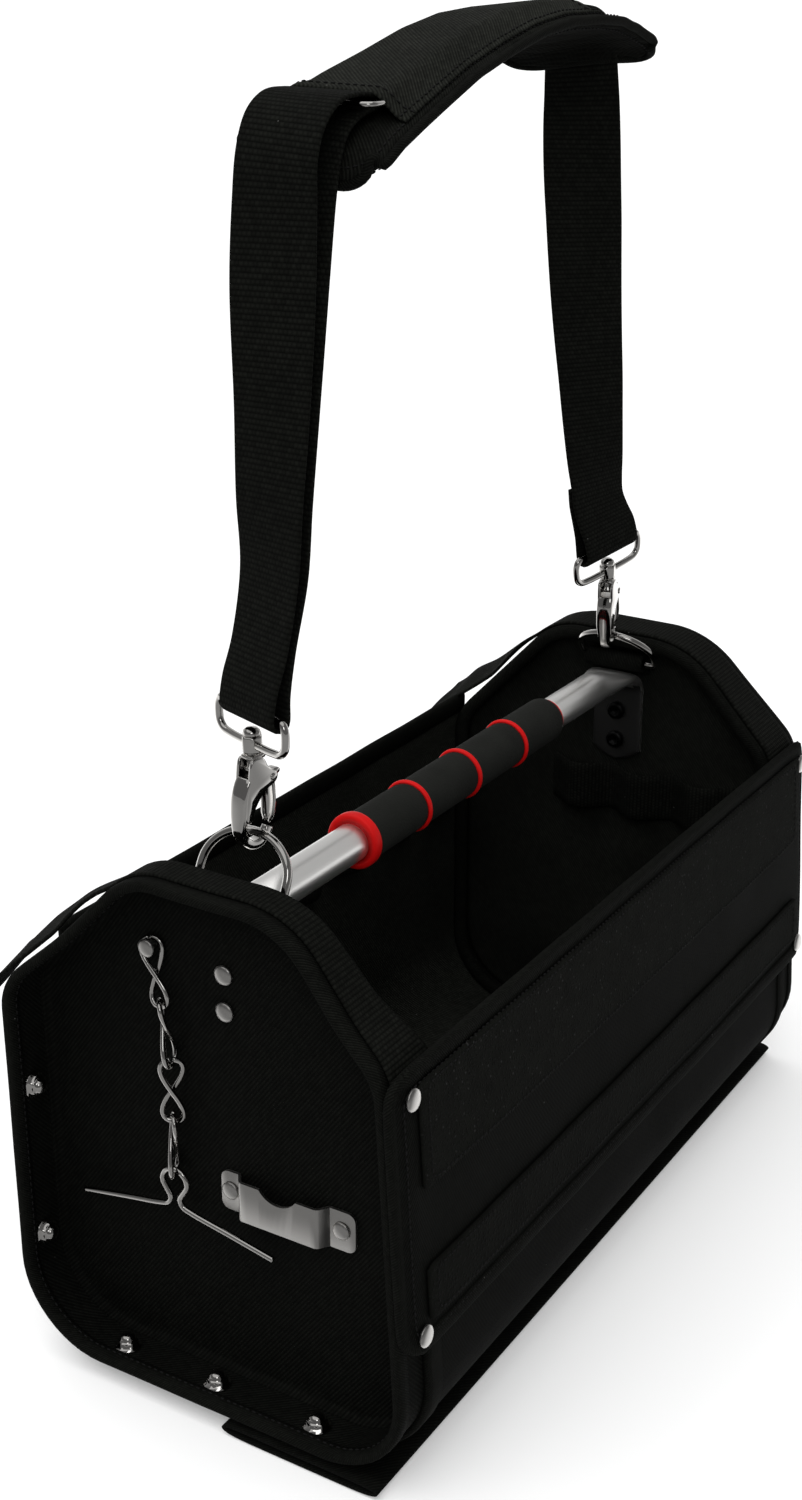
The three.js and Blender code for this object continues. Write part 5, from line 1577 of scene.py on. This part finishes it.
class BAG_OT_loops(bpy.types.Operator):
    """Rows of elastic tool loops inside"""

    bl_idname = "toolbag.loops"
    bl_label = "Tool loops"

    def execute(self, context):
        for name, length, waves, low, high in (("end", 118, 3, 160, 188), ("back", 300, 6, 150, 178)):
            s = np.linspace(0, 1, waves * 24 + 1)
            out = 1.1 + 10.6 * (0.5 - 0.5 * np.cos(2 * math.pi * waves * s)) ** 0.8
            run, z = np.meshgrid(s * length, np.linspace(low, high, 7), indexing="ij")
            if name == "end":
                grid = np.stack([PANEL_IN - out[:, None] + 0 * z, -76 + run, z], axis=2)
            else:
                grid = np.stack([-115 + run, back_y(z) - out[:, None], z], axis=2)
            obj = cloth_sheet(f"tool_loops_{name}_elastic", grid, 1.5, finish("band"))
            finish_piece(obj, nodes=(f"tool_loops_{name}",))
        return {"FINISHED"}


# Stitching

class BAG_OT_stitching(bpy.types.Operator):
    """Rows of thread on the rims' bindings, the front panel and its strips"""

    bl_idname = "toolbag.stitching"
    bl_label = "Stitching"

    def execute(self, context):
        pitch = context.scene.bag_sizes.stitch_pitch
        rows = []
        for _, side in SIDES:
            for inset, reach in ((4.62, lambda z: rim_x(z) - 5.6), (5.3, lambda z: inner_x(z, side) + 5.1)):
                y, z = outline(inset).T
                line = settled(np.stack([side * reach(z), y, z], axis=1))
                rows.append(np.vstack([line, line[:1]]))
        finish_piece(stitches("rim_stitches", rows, pitch))
        rows = [panel_edge(*PANEL, 7.0, 0.75)]
        for strip, corner, offset in ((HOOK_STRIP, 7, 2.1), (LOOP_STRIP, 5, 2.4)):
            rows.append(panel_edge(213.8, *strip[1:3], corner, 2.2, offset))
        finish_piece(stitches("panel_stitches", rows, pitch))
        return {"FINISHED"}


# Stage

# The camera fitted to the photo: focal length, optical centre and picture size in its pixels, axes and place.
FOCAL, CENTRE, PICTURE = 1995.5, (371.4, 756.7), (802.0, 1500.0)
EYE_RIGHT, EYE_DOWN, EYE_AHEAD = (0.5302, -0.8479, -0.0038), (-0.3113, -0.1905, -0.9310), (0.7887, 0.4948, -0.3649)
EYE = (-0.8388, -0.4753, 0.6382 - HANG * MM)
SENSOR = 24.0


class BAG_OT_stage(bpy.types.Operator):
    """Floor, soft lights and the camera"""

    bl_idname = "toolbag.stage"
    bl_label = "Studio"

    def execute(self, context):
        scene = context.scene
        self.floor(scene.bag_colours.floor)
        scene.world = bpy.data.worlds.new("Studio")
        scene.world.use_nodes = True
        sky = scene.world.node_tree.nodes["Background"].inputs
        sky["Color"].default_value = (1, 1, 1, 1)
        sky["Strength"].default_value = 0.5
        sun = bpy.data.lights.new("overhead", "SUN")
        sun.energy, sun.angle = 2.4, math.radians(75)
        add_object("overhead", sun).rotation_euler = (math.radians(-8), math.radians(-12), 0)
        aim = Vector((0, 0, -0.35))
        for name, spot, size, power in (("key", (-1.7, -1.0, 0.9), 0.7, 11.5), ("fill", (0.6, -2.0, 0.5), 0.9, 0.6)):
            data = bpy.data.lights.new(name, "AREA")
            data.shape, data.size, data.energy = "SQUARE", size, power
            lamp = add_object(name, data)
            lamp.location = spot
            lamp.rotation_euler = (aim - Vector(spot)).to_track_quat("-Z", "Y").to_euler()
        scene.camera = self.camera()
        scene.view_settings.view_transform = "Standard"
        return {"FINISHED"}

    def floor(self, colour):
        """A white floor that throws less light on the bag than the camera sees on it."""
        mesh = bpy.data.meshes.new("studio_floor")
        z, far = -HANG * MM - 0.0004, 80
        mesh.from_pydata([(-far, -far, z), (far, -far, z), (far, far, z), (-far, far, z)], [], [(0, 1, 2, 3)])
        m, t, put_in = start_material("Studio floor", Roughness=0.9, Specular_IOR_Level=0.1, Emission_Strength=0.2)
        thrown = t.add("ShaderNodeLightPath").outputs["Is Diffuse Ray"]
        t.put(t.mix(thrown, rgba(colour), rgba(colour, 0.45)), put_in["Base Color"])
        t.put(t.mix(thrown, (1, 1, 1, 1), (0.2, 0.2, 0.2, 1)), put_in["Emission Color"])
        mesh.materials.append(m)
        floor = add_object("studio_floor", mesh)

    def camera(self):
        """A camera that sees the bag as the photo does."""
        data = bpy.data.cameras.new("photo_view")
        wide, high = PICTURE
        data.sensor_fit, data.sensor_height = "VERTICAL", SENSOR
        data.lens = FOCAL * SENSOR / high
        data.shift_x, data.shift_y = (wide / 2 - CENTRE[0]) / high, (CENTRE[1] - high / 2) / high
        data.clip_end = 400
        camera = add_object("photo_view", data)
        axes = Matrix((Vector(EYE_RIGHT), -Vector(EYE_DOWN), -Vector(EYE_AHEAD))).transposed()
        camera.matrix_world = Matrix.Translation(EYE) @ axes.to_quaternion().to_matrix().to_4x4()
        return camera


class BAG_PT_panel(bpy.types.Panel):
    """Sidebar list of the bag's pieces"""

    bl_idname = "BAG_PT_panel"
    bl_label = "Tool bag"
    bl_space_type = "VIEW_3D"
    bl_region_type = "UI"
    bl_category = "Tool bag"

    def draw(self, context):
        for group in (context.scene.bag_sizes, context.scene.bag_colours):
            for key in group.__annotations__:
                self.layout.prop(group, key)
        for kind in OPERATORS:
            self.layout.operator(kind.bl_idname)


OPERATORS = (
    BAG_OT_stage, BAG_OT_ends, BAG_OT_body, BAG_OT_front, BAG_OT_sleeve, BAG_OT_handle, BAG_OT_fasteners, BAG_OT_clip,
    BAG_OT_chain, BAG_OT_hooks, BAG_OT_strap, BAG_OT_pad, BAG_OT_loops, BAG_OT_stitching,
)
CLASSES = (BagSizes, BagColours, *OPERATORS, BAG_PT_panel)


def register():
    for kind in CLASSES:
        bpy.utils.register_class(kind)
    bpy.types.Scene.bag_sizes = PointerProperty(type=BagSizes)
    bpy.types.Scene.bag_colours = PointerProperty(type=BagColours)


def unregister():
    del bpy.types.Scene.bag_colours
    del bpy.types.Scene.bag_sizes
    for kind in reversed(CLASSES):
        bpy.utils.unregister_class(kind)


def main():
    register()
    for kind in OPERATORS:
        area, word = kind.bl_idname.split(".")
        getattr(getattr(bpy.ops, area), word)()


if __name__ == "__main__":
    main()
